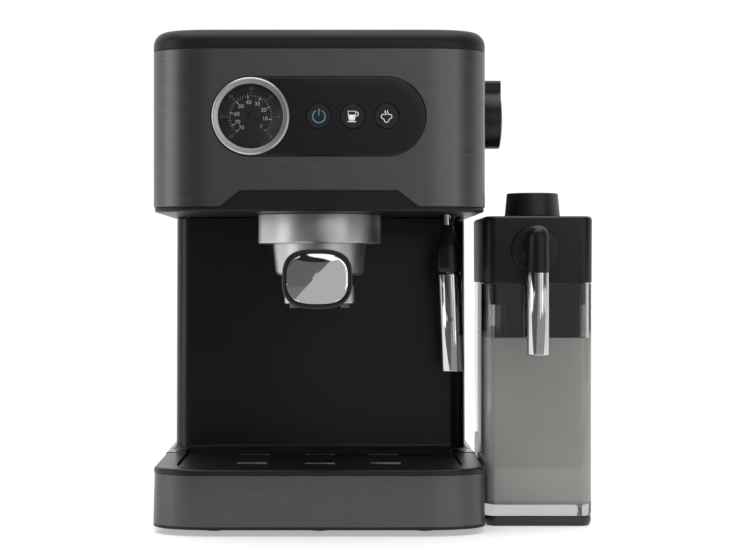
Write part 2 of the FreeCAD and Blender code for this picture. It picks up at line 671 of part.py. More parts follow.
# ---------------------------------------------------------------------------------------------
# Brew group and boiler
# ---------------------------------------------------------------------------------------------
def make_group():
    centre = (0, D.group_depth, 0)
    ring = Piece("group_ring", *centre)
    ring.turn("XZ", "V_Axis", polygon(
        (31.3, D.ring_low), (D.ring_radius, D.ring_low, 1.0), (D.ring_radius, 201.8, 0.6),
        (33.1, 201.8), (33.1, 191.8), (36.6, 191.8), (36.6, 185.8), (31.3, 185.8)))
    ring.cut("XY", 180, 185.8, polygon((20, -38), (37.5, -38), (37.5, -18), (20, -18)))

    boiler = Piece("boiler", *centre)
    boiler.turn("XZ", "V_Axis", polygon(
        (0, 194), (25.6, 194), (25.6, 203), (33, 203), (33, 219.7), (44, 219.7), (44, 223),
        (38, 223), (38, 245), (30, 245), (30, 212), (0, 212)))
    boiler.cut("XY", 193, 213, circle(0, 0, 2.5))
    boiler.cut("XY", 193, 213, circle(10, 0, 2)).around(4)
    cover = Piece("boiler_cover", *centre)
    cover.turn("XZ", "V_Axis", polygon((0, 245.1), (38, 245.1), (38, 249, 1), (31, 249, 3),
                                       (31, 262, 4), (0, 262)))
    cover.pad("XY", 261, 271, circle(-15, 0, 4), circle(15, 0, 4))
    cover.cut("XY", 245, 272, circle(-15, 0, 2), circle(15, 0, 2))
    gasket = Piece("group_gasket", *centre)
    gasket.turn("XZ", "V_Axis", rectangle(25.9, 32.9, 191.8, 202.8))
    screen = Piece("shower_screen", *centre)
    screen.turn("XZ", "V_Axis", rectangle(2.45, 24.6, 192.6, 193.9))
    screen.cut("XY", 192, 195, circle(9, 0, 0.7)).around(16)
    screen.cut("XY", 192, 195, circle(17, 0, 0.7)).around(24)
    screw = Piece("shower_screw", *centre)
    screw.turn("XZ", "V_Axis", polygon((0, 191.0), (4.4, 191.0, 0.8), (4.4, 192.5), (2.4, 192.5),
                                       (2.4, 205), (0, 205)))


def make_portafilter():
    centre = (0, D.group_depth, 0)
    rim = 190.2
    head = Piece("portafilter_head", *centre)
    head.turn("XZ", "V_Axis", polygon((0, D.bowl_low), (D.bowl_radius - 1.2, D.bowl_low, 5),
                                      (D.bowl_radius + 0.9, 181), (D.bowl_radius + 0.9, rim),
                                      (0, rim)))
    head.pad("XY", 186.5, 189.9, rectangle(26, 34.6, -9, 9)).around(2)
    head.pad("XZ", -D.group_depth + 10, -20, circle(0, 169.5, 7.8))
    head.turn("XZ", "V_Axis", polygon((0, 166), (28.4, 166, 3), (28.4, rim), (0, rim)), adds=False)
    head.cut("XY", 160, 168, circle(0, 0, 5))
    basket = Piece("filter_basket", *centre)
    basket.turn("XZ", "V_Axis", polygon((0, 168.4), (26, 168.4, 3), (27.4, 190.3), (30.6, 190.3),
                                        (30.6, 191.1), (26.6, 191.1), (25.2, 169.2, 2.2), (0, 169.2)))

    spout = Piece("spout_block")
    deep = 12
    spout.pad("XY", D.spout_low, D.spout_high,
              rectangle(-D.spout_half, D.spout_half, D.group_depth - deep, D.group_depth + deep, 5))
    spout.pad("XY", D.spout_high - 1, D.bowl_low, circle(0, D.group_depth, 9))
    spout.cut("XY", 150, 162, circle(0, D.group_depth, 5))
    spout.cut("YZ", -18, 18, circle(D.group_depth, 150, 2.6))
    outlets = [circle(sign * D.outlet_offset, D.group_depth, D.outlet_r) for sign in (-1, 1)]
    spout.cut("XY", 140, 150, *outlets)
    tips = Piece("spout_outlets")
    tips.pad("XY", D.outlet_low, 149.9, *outlets)
    tips.cut("XY", 140, 150, *[circle(sign * D.outlet_offset, D.group_depth, 2.2) for sign in (-1, 1)])

    handle = Piece("handle_grip", 0, 0, D.handle_level)

    def section(wide, tall, drop, corner):
        return rectangle(-wide / 2, wide / 2, drop - tall / 2, drop + tall / 2, corner)
    handle.loft("XZ", (9.9, section(size(22), size(17), 9.3, 7.5)),
                (-8, section(size(25), size(21), 7.3, 8.8)),
                (-60, section(size(35), size(31), 1.7, 12.5)),
                (D.handle_end + 14, section(D.handle_wide, D.handle_tall + 1, 0, 14)),
                (D.handle_end, section(D.handle_wide, D.handle_tall, 0, 14)))
    handle.cut("XZ", D.handle_end - 1, D.handle_end + 4,
               section(D.handle_wide - 3.6, D.handle_tall - 4.6, 0, 12))
    cap = Piece("handle_cap", 0, 0, D.handle_level)
    cap.pad("XZ", D.handle_end + 0.3, D.handle_end + 4,
            section(D.handle_wide - 4, D.handle_tall - 5, 0, 11.8))


# ---------------------------------------------------------------------------------------------
# Steam valve, knob and wand
# ---------------------------------------------------------------------------------------------
def make_steam():
    knob = Piece("steam_knob", 0, D.knob_depth, D.knob_level)
    inner = D.case_half + 1.2
    knob.turn("XY", "H_Axis", polygon((inner, 0), (inner, D.knob_radius, 1),
                                      (D.knob_face - 1.5, D.knob_radius, 1), (D.knob_face, 6, 8),
                                      (D.knob_face, 0)))
    knob.pad("YZ", inner, D.knob_face - 1.1, rectangle(-6, 6, 10, D.knob_radius + 6.7, 2.5))
    knob.cut("YZ", inner - 1, inner + 8, circle(0, 0, 3))
    stem = Piece("valve_stem", 0, D.knob_depth, D.knob_level)
    stem.turn("XY", "H_Axis", polygon((66, 0), (68, 3), (inner + 8, 3), (inner + 8, 0)))
    valve = Piece("steam_valve", 0, D.knob_depth, D.knob_level)
    valve.pad("YZ", 62, 92, rectangle(-9, 9, -9, 9, 2))
    valve.cut("YZ", 65, 93, circle(0, 0, 3 + D.running))
    valve.pad("XY", -30, -8.5, circle(76, 0, 4))
    valve.cut("XY", -31, 0, circle(76, 0, 1.8))
    valve.pad("YZ", 54, 62.5, circle(0, 0, 4))
    valve.cut("YZ", 53, 66, circle(0, 0, 1.8))

    socket = Piece("wand_socket", D.wand_side, D.wand_depth, D.wand_pivot)
    socket.turn("XZ", "V_Axis", rectangle(0, 8.5, -3.3, 8))
    socket.cut("XY", -4, 0, circle(0, 0, 4.7))
    hollow = D.ball_radius + D.running
    socket.turn("XZ", "V_Axis", half_disc(hollow), adds=False)
    socket.cut("XY", 0, 9, circle(0, 0, 2))

    lean = FreeCAD.Rotation(Vector(0, 1, 0), -2.1)
    wand = (D.wand_side, D.wand_depth, D.wand_pivot)
    pipe = Piece("steam_pipe", *wand)
    pipe.ball(D.ball_radius)
    pipe.pad("XY", -80, -2, circle(0, 0, D.pipe_radius))
    pipe.cut("XY", -81, 6, circle(0, 0, 1.2))
    grip = Piece("wand_grip", *wand)
    grip.turn("XZ", "V_Axis", polygon((D.pipe_radius, -12.6), (3.4, -12.6, 0.8), (7.2, -27, 8),
                                      (8.4, -41, 3), (7.6, -44, 1), (D.pipe_radius, -44)))
    sleeve = Piece("froth_sleeve", *wand)
    sleeve.turn("XZ", "V_Axis", polygon(
        (D.pipe_radius + 0.1, -44.3), (D.sleeve_radius, -44.3, 1.5), (D.sleeve_radius, -109.4, 0.7),
        (6.3, -109.4), (6.3, -58), (D.pipe_radius + 0.1, -54)))
    sleeve.cut("XZ", -9, -4, circle(0, -75, 0.9))
    for thing in (pipe, grip, sleeve):
        thing.body.Placement.Rotation = lean


def half_disc(radius):
    """The right half of a disc about the sketch's origin."""
    def draw(sketch):
        r = radius.value
        centre = Vector(0, 0, 0)
        arc = sketch.addGeometry(Part.ArcOfCircle(Part.Circle(centre, Vector(0, 0, 1), r),
                                                  -math.pi / 2, math.pi / 2), False)
        line = sketch.addGeometry(Part.LineSegment(Vector(0, r, 0), Vector(0, -r, 0)), False)
        sketch.addConstraint(Sketcher.Constraint("Coincident", arc, 2, line, 1))
        sketch.addConstraint(Sketcher.Constraint("Coincident", line, 2, arc, 1))
        sketch.addConstraint(Sketcher.Constraint("Coincident", arc, 3, -1, 1))
        sketch.addConstraint(Sketcher.Constraint("PointOnObject", arc, 1, -2))
        set_radius(sketch, arc, radius)
    return draw


# ---------------------------------------------------------------------------------------------
# Water tank, pump and hoses
# ---------------------------------------------------------------------------------------------
def make_water():
    wall = 2.2
    tank = Piece("water_tank")
    tank.pad("XY", D.tank_low, D.tank_high, rectangle(-D.tank_half, D.tank_half, D.tank_front,
                                                      D.tank_back, 14))
    tank.cut("XY", D.tank_low + 2.4, D.tank_high + 1,
             rectangle(-D.tank_half + wall, D.tank_half - wall, D.tank_front + wall,
                       D.tank_back - wall, 14 - wall))
    tank.cut("XY", 45, 50, circle(0, D.tank_axis, 9))
    ear, knuckle, pin = 27.3, 24.0, 27.1
    tank.pad("YZ", -ear, -knuckle - 0.3, polygon(
        (D.tank_back - 0.5, 292), (D.hinge_depth + 2.1, 297.5, 1),
        (D.hinge_depth + 2.1, D.hinge_level + 2.1, 2), (D.hinge_depth - 2.1, D.hinge_level + 2.1, 2),
        (D.hinge_depth - 2.1, D.tank_high - 1), (D.tank_back - 0.5, D.tank_high - 1)))
    tank.along("X", ear + knuckle + 0.3, 2)
    tank.cut("YZ", -30, 30, circle(D.hinge_depth, D.hinge_level, D.hinge_pin + 0.1))
    lid = Piece("tank_lid")
    lid.pad("XY", D.tank_high + 0.3, D.tank_high + 13,
            rectangle(-D.tank_half - 1, D.tank_half + 1, D.tank_front - 1, D.tank_back + 1, 15))
    lid.round_edges(4, level_is(D.tank_high + 13))
    lid.cut("XY", D.tank_high, D.tank_high + 10.4,
            rectangle(-D.tank_half + 3, D.tank_half - 3, D.tank_front + 3, D.tank_back - 3, 10))
    lid.pad("YZ", -knuckle, knuckle, polygon(
        (D.tank_back, D.tank_high + 0.6), (D.tank_back, D.hinge_level + 2.1),
        (D.hinge_depth + 2.1, D.hinge_level + 2.1, 2), (D.hinge_depth + 2.1, D.hinge_level - 2.1, 2),
        (D.hinge_depth - 2.1, D.hinge_level - 2.1, 1), (D.hinge_depth - 2.1, D.tank_high + 0.6)))
    lid.pad("YZ", -pin, pin, circle(D.hinge_depth, D.hinge_level, D.hinge_pin))
    valve = Piece("tank_valve", 0, D.tank_axis, 0)
    valve.turn("XZ", "V_Axis", polygon((0, 51.2), (10.5, 51.2), (10.5, 53, 0.8), (3, 55, 2),
                                       (2.5, 62, 1), (0, 62)))
    socket = Piece("tank_socket", 0, D.tank_axis, 0)
    socket.turn("XZ", "V_Axis", polygon(
        (3, 28), (5, 28), (5, 38), (12.2, 38), (12.2, 45.8), (8.3, 45.8), (8.3, 50.6, 1), (3, 50.6)))

    pump = Piece("pump", -45, 178, 0)
    pump.pad("XY", 84, 122, rectangle(-21, 21, -19, 19, 3))
    pump.pad("XY", 66, 136, circle(0, 0, 14))
    pump.pad("XY", 56, 146, circle(0, 0, 5))
    pump.cut("XY", 55, 147, circle(0, 0, 2))
    mounts = Piece("pump_mounts", -45, 178, 0)
    feet = [(x, y) for x in (-16, 16) for y in (-14, 14)]
    mounts.pad("XY", D.deck_top + 4.3, 83.9, *[circle(x, y, 4.5) for x, y in feet])
    mounts.pad("XY", D.deck_top + 4.3, 54, *[circle(x, y, 6.5) for x, y in feet])
    valve_block = Piece("three_way_valve", 30, 180, 0)
    valve_block.pad("XY", D.deck_top + 4.3, 96, rectangle(-16, 16, -14, 14, 2))
    valve_block.pad("XY", 95, 118, circle(0, 0, 11))
    valve_block.pad("XY", 117, 128, circle(0, 0, 4))
    valve_block.cut("XY", 110, 129, circle(0, 0, 2))

    hose("suction_hose", [(0, D.tank_axis, 27.9), (0, D.tank_axis, 14), (-45, 218, 14), (-45, 196, 30),
                          (-45, 196, 51.8), (-45, 178, 51.8), (-45, 178, 55.8)], 3.0, 2.0, 2.4)
    hose("pressure_hose", [(-45, 178, 146.2), (-45, 178, 160), (-45, 205, 160), (-45, 205, 284),
                           (-15, 205, 284), (-15, D.group_depth, 284), (-15, D.group_depth, 271.2)],
         3.0, 1.8, 6)
    hose("steam_line", [(15, D.group_depth, 271.2), (15, D.group_depth, 282), (44, D.group_depth, 282),
                        (44, D.knob_depth, 282), (44, D.knob_depth, D.knob_level),
                        (53.8, D.knob_depth, D.knob_level)], 2.5, 1.6, 4)


# ---------------------------------------------------------------------------------------------
# Milk jug
# ---------------------------------------------------------------------------------------------
def jug_outline(inset, radius):
    return rectangle(D.jug_left + inset, D.jug_right - inset, D.jug_front + inset,
                     D.jug_back - inset, radius)


def make_jug():
    jug = Piece("jug_container")
    jug.pad("XY", 0, D.jug_rim, jug_outline(0.4, 8))
    jug.cut("XY", D.jug_floor, D.jug_rim + 1, jug_outline(0.4 + D.jug_wall, 5))
    lid = Piece("jug_lid")
    lid.pad("XY", D.jug_lid_low, D.jug_lid_high, jug_outline(0, 8))
    lid.round_edges(2.5, level_is(D.jug_lid_high))
    lid.pad("XY", 143, D.jug_lid_low, jug_outline(D.jug_wall + 0.8, 4.6))
    lid.cut("XY", 142, D.jug_lid_high - 3, jug_outline(D.jug_wall + 2.8, 3))
    lid.cut("XY", 190, 202, circle(D.froth_side, D.froth_depth, 6))
    lid.cut("XZ", D.jug_front - 1, D.jug_front + 8, circle(D.milk_side, D.milk_level, 8 + D.running))

    frother = Piece("froth_body")
    chamber = (118.7, 170.6, 58, 141)
    wall = 2.2
    frother.pad("XY", 122, 142.9, rectangle(*chamber, 6))
    frother.cut("XY", 122 + wall, 143, rectangle(chamber[0] + wall, chamber[1] - wall,
                                                 chamber[2] + wall, chamber[3] - wall, 4))
    frother.pad("XY", 122, 197.4, circle(D.froth_side, D.froth_depth, 13))
    frother.pad("XZ", D.jug_front + 9, D.froth_depth, circle(D.milk_side, D.milk_level, 7))
    frother.cut("XZ", D.jug_front + 8, D.froth_depth, circle(D.milk_side, D.milk_level, 4))
    frother.pad("XY", 20, 123, circle(D.froth_side, D.froth_depth, 3.2))
    frother.cut("XY", 19, D.milk_level, circle(D.froth_side, D.froth_depth, 2))
    frother.cut("XY", 188, 198, circle(D.froth_side, D.froth_depth, 4 + D.running))
    knob = Piece("froth_knob", D.froth_side, D.froth_depth, 0)
    knob.turn("XZ", "V_Axis", polygon((0, 189), (4, 189), (4, D.jug_lid_high + 0.4),
                                      (18.6, D.jug_lid_high + 0.4, 1), (17.2, D.froth_top, 0.8),
                                      (0, D.froth_top)))

    arm = D.jug_front - D.milk_depth
    elbow = Piece("spout_elbow", D.milk_side, D.milk_depth, D.milk_level)
    elbow.pad("XY", -14, 7.6, circle(0, 0, 7.25))
    elbow.pad("XZ", 0, arm + 8, circle(0, 0, 8))
    elbow.pad("XZ", arm - 4, arm - 0.4, circle(0, 0, 15.1))
    elbow.turn("XZ", "V_Axis", raised_half_disc(size(7.25), 7.65))
    elbow.cut("XZ", 0, arm + 9, circle(0, 0, 4.5))
    elbow.cut("XY", -15, 0, circle(0, 0, 4.5))
    tube = Piece("milk_spout", D.milk_side, D.milk_depth, 0)
    tube.turn("XZ", "V_Axis", polygon((5.8, D.milk_low), (7.2, D.milk_low, 0.6), (7.2, 164.8),
                                      (5.8, 164.8)))


def raised_half_disc(radius, height):
    """A quarter disc to the right of the axis, standing at a height: a dome when turned."""
    height = size(height)

    def draw(sketch):
        r, level = radius.value, height.value
        centre = Vector(0, level, 0)
        arc = sketch.addGeometry(Part.ArcOfCircle(Part.Circle(centre, Vector(0, 0, 1), r),
                                                  0, math.pi / 2), False)
        floor = sketch.addGeometry(Part.LineSegment(centre, Vector(r, level, 0)), False)
        axis = sketch.addGeometry(Part.LineSegment(Vector(0, level + r, 0), centre), False)
        for first, end, second, start in ((arc, 2, axis, 1), (axis, 2, floor, 1), (floor, 2, arc, 1)):
            sketch.addConstraint(Sketcher.Constraint("Coincident", first, end, second, start))
        sketch.addConstraint(Sketcher.Constraint("Coincident", arc, 3, axis, 2))
        sketch.addConstraint(Sketcher.Constraint("Vertical", axis))
        sketch.addConstraint(Sketcher.Constraint("Horizontal", floor))
        locate(sketch, arc, 3, size(0), height)
        set_radius(sketch, arc, radius)
    return draw


# ---------------------------------------------------------------------------------------------
# Build, check and write
# ---------------------------------------------------------------------------------------------
for make in (make_base, make_tray, make_column, make_head, make_controls, make_group,
             make_portafilter, make_steam, make_water, make_jug):
    make()
doc.recompute()

faults = [thing.Name for thing in doc.Objects
          if "Invalid" in thing.State or "Error" in thing.State]
for name, thing in pieces.items():
    if thing.Shape.isNull() or not thing.Shape.isValid():
        faults.append(name + " shape")
if faults:
    raise ValueError("failed objects: " + ", ".join(faults))

os.makedirs("parts", exist_ok=True)
for name, thing in pieces.items():
    thing.Shape.exportStep(os.path.join("parts", name + ".step"))
print(len(pieces), "pieces written")
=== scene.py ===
# %% [markdown]
# # An espresso machine, piece by piece
# The machine is a boxy head on a column over a drawer for drips, with a milk jug beside it.
# The engineering model is loaded first and stays as it is. Every visible piece is then worked
# out as a surface that stands exactly where its engineering solid stands, so the two always
# agree.

# %% Load the frame
import math

import bmesh
import bpy
import numpy as np
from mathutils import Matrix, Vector


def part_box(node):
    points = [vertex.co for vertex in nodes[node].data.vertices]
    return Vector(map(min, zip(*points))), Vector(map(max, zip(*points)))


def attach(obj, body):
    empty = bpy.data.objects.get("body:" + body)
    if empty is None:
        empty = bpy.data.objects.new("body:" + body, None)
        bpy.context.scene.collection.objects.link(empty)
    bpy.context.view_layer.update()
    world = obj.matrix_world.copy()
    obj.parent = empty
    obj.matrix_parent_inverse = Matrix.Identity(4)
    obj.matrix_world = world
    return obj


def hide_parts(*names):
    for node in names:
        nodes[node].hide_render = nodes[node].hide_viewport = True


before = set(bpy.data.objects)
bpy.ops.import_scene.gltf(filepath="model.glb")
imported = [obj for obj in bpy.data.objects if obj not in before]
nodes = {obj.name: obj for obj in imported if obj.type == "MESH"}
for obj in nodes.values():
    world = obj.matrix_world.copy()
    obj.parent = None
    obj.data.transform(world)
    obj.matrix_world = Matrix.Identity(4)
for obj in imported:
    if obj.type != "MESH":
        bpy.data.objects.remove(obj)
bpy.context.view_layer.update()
MM = 0.001

# %% [markdown]
# Machine coordinates are easier to think in than the frame's: `across` from the machine's centre
# plane, `depth` behind its front and `up` from the table, in millimetres. The head's own box
# says where they start.

# %% Machine coordinates
head_low, head_high = (np.array(corner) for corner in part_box("head_wrap"))
centre_across = (head_low[0] + head_high[0]) / 2
front_depth = head_low[1]


def spot(across, depth, up):
    """A point of the frame, in metres, from machine coordinates in millimetres."""
    return np.array([centre_across + across * MM, front_depth + depth * MM, up * MM])


def span(node):
    """A node's low and high corner in machine coordinates, in millimetres."""
    low, high = (np.array(corner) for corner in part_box(node))
    return (low - spot(0, 0, 0)) / MM, (high - spot(0, 0, 0)) / MM


# %% [markdown]
# ## Surfaces
# Moulded and pressed pieces are nearly all a profile carried round a closed outline: a lid, a
# tray, a jug. A profile is a list of corners with radii, and `rounded` replaces each corner by a
# tangent arc. The outline is a function of how far in from the edge it runs, so that one call
# gives all the rings at once.

# %% Profiles and outlines
def rounded(corners, steps=6):
    """A polyline through corners (u, v, radius), each turned into an arc tangent to both sides."""
    points = np.array([corner[:2] for corner in corners], float)
    pieces = [points[:1]]
    for before, corner, after in zip(points, corners[1:-1], points[2:]):
        here = np.array(corner[:2], float)
        radius = corner[2] if len(corner) > 2 else 0
        if radius <= 0:
            pieces.append(here[None])
            continue
        back, ahead = before - here, after - here
        back, ahead = back / np.linalg.norm(back), ahead / np.linalg.norm(ahead)
        half = math.acos(np.clip(back @ ahead, -1, 1)) / 2
        centre = here + (back + ahead) / np.linalg.norm(back + ahead) * radius / math.sin(half)
        start, end = here + back * radius / math.tan(half), here + ahead * radius / math.tan(half)
        first = math.atan2(*(start - centre)[::-1])
        turn = (math.atan2(*(end - centre)[::-1]) - first + math.pi) % (2 * math.pi) - math.pi
        angles = first + turn * np.linspace(0, 1, steps + 1)
        pieces.append(centre + radius * np.stack([np.cos(angles), np.sin(angles)], 1))
    pieces.append(points[-1:])
    return np.concatenate(pieces)


def cornered(left, right, near, far, near_corner, far_corner, steps=14, power=2.0):
    """A rectangle with elliptical corners (reach across, reach along), as a function of inset.

    Each corner is x = a cos(t)^(2/power), y = b sin(t)^(2/power), so a power over 2 is squarer.
    """
    t = np.linspace(0, math.pi / 2, steps + 1)
    cos, sin = np.cos(t) ** (2 / power), np.sin(t) ** (2 / power)

    def outline(inset):
        na, nb = (max(reach - inset, 0.05) for reach in near_corner)
        fa, fb = (max(reach - inset, 0.05) for reach in far_corner)
        x0, x1, y0, y1 = left + inset, right - inset, near + inset, far - inset
        return np.concatenate([
            np.stack([x1 - na + na * sin, y0 + nb - nb * cos], 1),
            np.stack([x1 - fa + fa * cos, y1 - fb + fb * sin], 1),
            np.stack([x0 + fa - fa * sin, y1 - fb + fb * cos], 1),
            np.stack([x0 + na - na * cos, y0 + nb - nb * sin], 1)])
    return outline


def squircle(across, up, half_wide, half_tall, power=2.6, count=96):
    """A superellipse |x/a|^p + |y/b|^p = 1 as a function of inset."""
    t = np.linspace(0, 2 * math.pi, count, endpoint=False)
    c, s = np.cos(t), np.sin(t)

    def outline(inset):
        x = np.sign(c) * np.abs(c) ** (2 / power) * (half_wide - inset)
        y = np.sign(s) * np.abs(s) ** (2 / power) * (half_tall - inset)
        return np.stack([across + x, up + y], 1)
    return outline


def stadium(left, right, up, radius, steps=32):
    """Two half circles joined by straight lines, as a function of inset."""
    t = np.linspace(-math.pi / 2, math.pi / 2, steps + 1)

    def outline(inset):
        r = radius - inset
        return np.concatenate([np.stack([right + r * np.cos(t), up + r * np.sin(t)], 1),
                               np.stack([left - r * np.cos(t), up - r * np.sin(t)], 1)])
    return outline


# %% [markdown]
# `skin` joins rings of equal length into quads, closes its two ends with a face each, and turns
# the result right side out by the sign of its enclosed volume. `carried` takes an outline and a
# profile of (inset, level) pairs; `lathed` turns a profile of (radius, level) pairs about an
# axis, and `lathed_along` does so about a slanted one. The same shapes could be drawn with curves
# or with Blender's Spin tool, but worked out as arrays they need no cleaning up afterwards, and
# every dimension stays a number that can be read.

# %% Meshes from rings
AXIS_ORDER = {"X": (2, 0, 1), "Y": (0, 2, 1), "Z": (0, 1, 2)}


def linked(name, data):
    """An object around a mesh, a curve, a light or a camera, linked into the scene."""
    made = bpy.data.objects.new(name, data)
    bpy.context.scene.collection.objects.link(made)
    return made


def new_mesh(name, points, faces):
    """A piece from points in machine coordinates."""
    mesh = bpy.data.meshes.new(name)
    mesh.from_pydata((np.asarray(points) * MM + spot(0, 0, 0)).tolist(), [], faces)
    mesh.update()
    return linked(name, mesh)


def discard(piece):
    """Removes a piece together with its mesh."""
    data = piece.data
    bpy.data.objects.remove(piece)
    bpy.data.meshes.remove(data)


def enclosed(points, faces):
    """Signed volume: the sum over a fan of each face of the triple product a . (b x c) / 6."""
    total = 0.0
    for size in sorted({len(face) for face in faces}):
        ring = np.array([face for face in faces if len(face) == size])
        corners = points[ring]
        for k in range(1, size - 1):
            total += np.einsum("ij,ij->i", corners[:, 0],
                               np.cross(corners[:, k], corners[:, k + 1])).sum() / 6
    return total


def skin(name, rings, caps=True, loop=False, angle=32):
    """A closed surface through rings (count, points, 3) in machine coordinates."""
    count, around = rings.shape[:2]
    points = rings.reshape(-1, 3)
    gaps = count if loop else count - 1
    row, col = np.meshgrid(np.arange(gaps), np.arange(around), indexing="ij")
    up, side = (row + 1) % count, (col + 1) % around
    quads = np.stack([row * around + col, row * around + side, up * around + side,
                      up * around + col], -1).reshape(-1, 4)
    faces = [tuple(face) for face in quads.tolist()]
    if caps and not loop:
        faces += [tuple(range(around))[::-1], tuple(range((count - 1) * around, count * around))]
    if enclosed(points, faces) < 0:
        faces = [face[::-1] for face in faces]
    return smooth(new_mesh(name, points, faces), angle)


def smooth(piece, angle=32):
    piece.data.shade_smooth()
    piece.data.set_sharp_from_angle(angle=math.radians(angle))
    return piece


def turned_to(axis, flat, level):
    """Puts outline points and their level on the three axes: level runs along the named one."""
    ring = np.concatenate([flat, np.full((len(flat), 1), float(level))], 1)
    return ring[:, AXIS_ORDER[axis]]


def carried(name, outline, profile, axis="Z", loop=False):
    """An outline carried up a profile of (inset, level) pairs."""
    rings = [turned_to(axis, outline(inset), level) for inset, level in np.asarray(profile)]
    return skin(name, np.array(rings), loop=loop)


def slab(name, line, levels, axis="Y"):
    """A closed flat line carried straight between levels along an axis."""
    return skin(name, np.array([turned_to(axis, np.asarray(line), level) for level in levels]))


def lathed(name, centre, profile, axis="Z", count=96, loop=False):
    """A profile of (radius, level) pairs turned about an axis through a centre point."""
    t = np.linspace(0, 2 * math.pi, count, endpoint=False)
    circle = np.stack([np.cos(t), np.sin(t)], 1)
    rings = [turned_to(axis, circle * max(radius, 1e-3), level) + np.asarray(centre, float)
             for radius, level in np.asarray(profile)]
    return skin(name, np.array(rings), loop=loop)


def lathed_along(name, start, direction, profile, count=64, loop=False):
    """Like lathed, about a slanted axis: levels are distances from the start point."""
    direction = np.asarray(direction, float) / np.linalg.norm(direction)
    side = np.cross(direction, (0, 1, 0))
    side /= np.linalg.norm(side)
    other = np.cross(direction, side)
    t = np.linspace(0, 2 * math.pi, count, endpoint=False)[:, None]
    circle = np.cos(t) * side + np.sin(t) * other
    rings = [np.asarray(start) + direction * level + circle * max(radius, 1e-3)
             for radius, level in np.asarray(profile)]
    return skin(name, np.array(rings), loop=loop)


# %% [markdown]
# Windows and notches are cut with Boolean modifiers that are applied at once, and the cutters
# thrown away. An opening could be worked out as part of the surface, but a cut with a plain
# cutter is simpler and just as exact. A live Bevel then rounds every sharp edge by a hair, which
# is what makes a rendered edge catch light as a real one does.

# %% Cutting and edge rounding
def carve(piece, cutters, operation="DIFFERENCE"):
    for cutter in cutters:
        step = piece.modifiers.new("carve", "BOOLEAN")
        step.operation, step.solver, step.object = operation, "EXACT", cutter
    bpy.context.view_layer.update()
    evaluated = piece.evaluated_get(bpy.context.evaluated_depsgraph_get())
    mesh = bpy.data.meshes.new_from_object(evaluated)
    piece.modifiers.clear()
    old, piece.data = piece.data, mesh
    name = old.name
    bpy.data.meshes.remove(old)
    mesh.name = name
    for cutter in cutters:
        discard(cutter)
    return smooth(piece)


def soften(piece, width=0.3, segments=2, angle=35):
    """A bevel in millimetres on every edge sharper than the angle."""
    bevel = piece.modifiers.new("edge rounding", "BEVEL")
    bevel.width, bevel.segments = width * MM, segments
    bevel.limit_method, bevel.angle_limit = "ANGLE", math.radians(angle)
    bevel.harden_normals = True
    bevel.miter_outer = "MITER_ARC"
    bevel.use_clamp_overlap = True
    return piece


def block(name, left, right, near, far, low, high, radius=0.05, axis="Z"):
    """A plain cutter with upright rounded corners."""
    outline = cornered(left, right, near, far, (radius, radius), (radius, radius), steps=6)
    return carried(name, outline, [(0, low), (0, high)], axis)


finished = []


def settle(piece, body, slot, material, *replaced):
    """Gives a piece its finish, its body and the engineering nodes that it stands for."""
    print(" ", piece.name, "rides on", body, "with", len(piece.data.polygons), "faces")
    piece.data.materials.clear()
    piece.data.materials.append(material)
    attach(piece, body)
    if replaced:
        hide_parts(*replaced)
    finished.append(piece)
    return piece


# %% [markdown]
# ## Finishes
# Effects that several finishes share are node groups that put out masks and heights only. The
# shader stays in the material, with its constants on its own sockets.

# %% Shared effects
def effect(name, inputs, outputs):
    """An empty node group with float inputs (name, default) and outputs (name, socket type)."""
    tree = bpy.data.node_groups.new(name, "ShaderNodeTree")
    for label, default in inputs:
        socket = tree.interface.new_socket(label, in_out="INPUT", socket_type="NodeSocketFloat")
        socket.default_value = default
    for label, kind in outputs:
        tree.interface.new_socket(label, in_out="OUTPUT", socket_type=kind)
    return tree, tree.nodes.new("NodeGroupInput"), tree.nodes.new("NodeGroupOutput")


def node(tree, kind, inputs=(), **settings):
    """A node with its settings, and its inputs set to a value or linked from a socket."""
    made = tree.nodes.new("ShaderNode" + kind)
    for key, value in settings.items():
        setattr(made, key, value)
    for key, value in dict(inputs).items():
        if isinstance(value, bpy.types.NodeSocket):
            tree.links.new(value, made.inputs[key])
        else:
            made.inputs[key].default_value = value
    return made


def brushing():
    """Fine level scratches: noise that is stretched sideways and squeezed along Z."""
    tree, given, result = effect("level brushing", [("Fineness", 900.0), ("Length", 9.0)],
                                 [("Height", "NodeSocketFloat"), ("Streak", "NodeSocketFloat")])
    where = node(tree, "TexCoord").outputs["Object"]
    stretch = node(tree, "CombineXYZ", {"X": given.outputs["Length"], "Y": given.outputs["Length"],
                                        "Z": given.outputs["Fineness"]})
    fine = node(tree, "VectorMath", {0: where, 1: stretch.outputs[0]}, operation="MULTIPLY")
    broad = node(tree, "VectorMath", {0: fine.outputs[0], 1: (0.6, 0.6, 0.62)},
                 operation="MULTIPLY")
    hair = node(tree, "TexNoise", {"Vector": fine.outputs[0], "Scale": 1.0, "Detail": 3.0,
                                   "Roughness": 0.7})
    streak = node(tree, "TexNoise", {"Vector": broad.outputs[0], "Scale": 1.0, "Detail": 2.0})
    tree.links.new(hair.outputs["Fac"], result.inputs["Height"])
    tree.links.new(streak.outputs["Fac"], result.inputs["Streak"])
    return tree


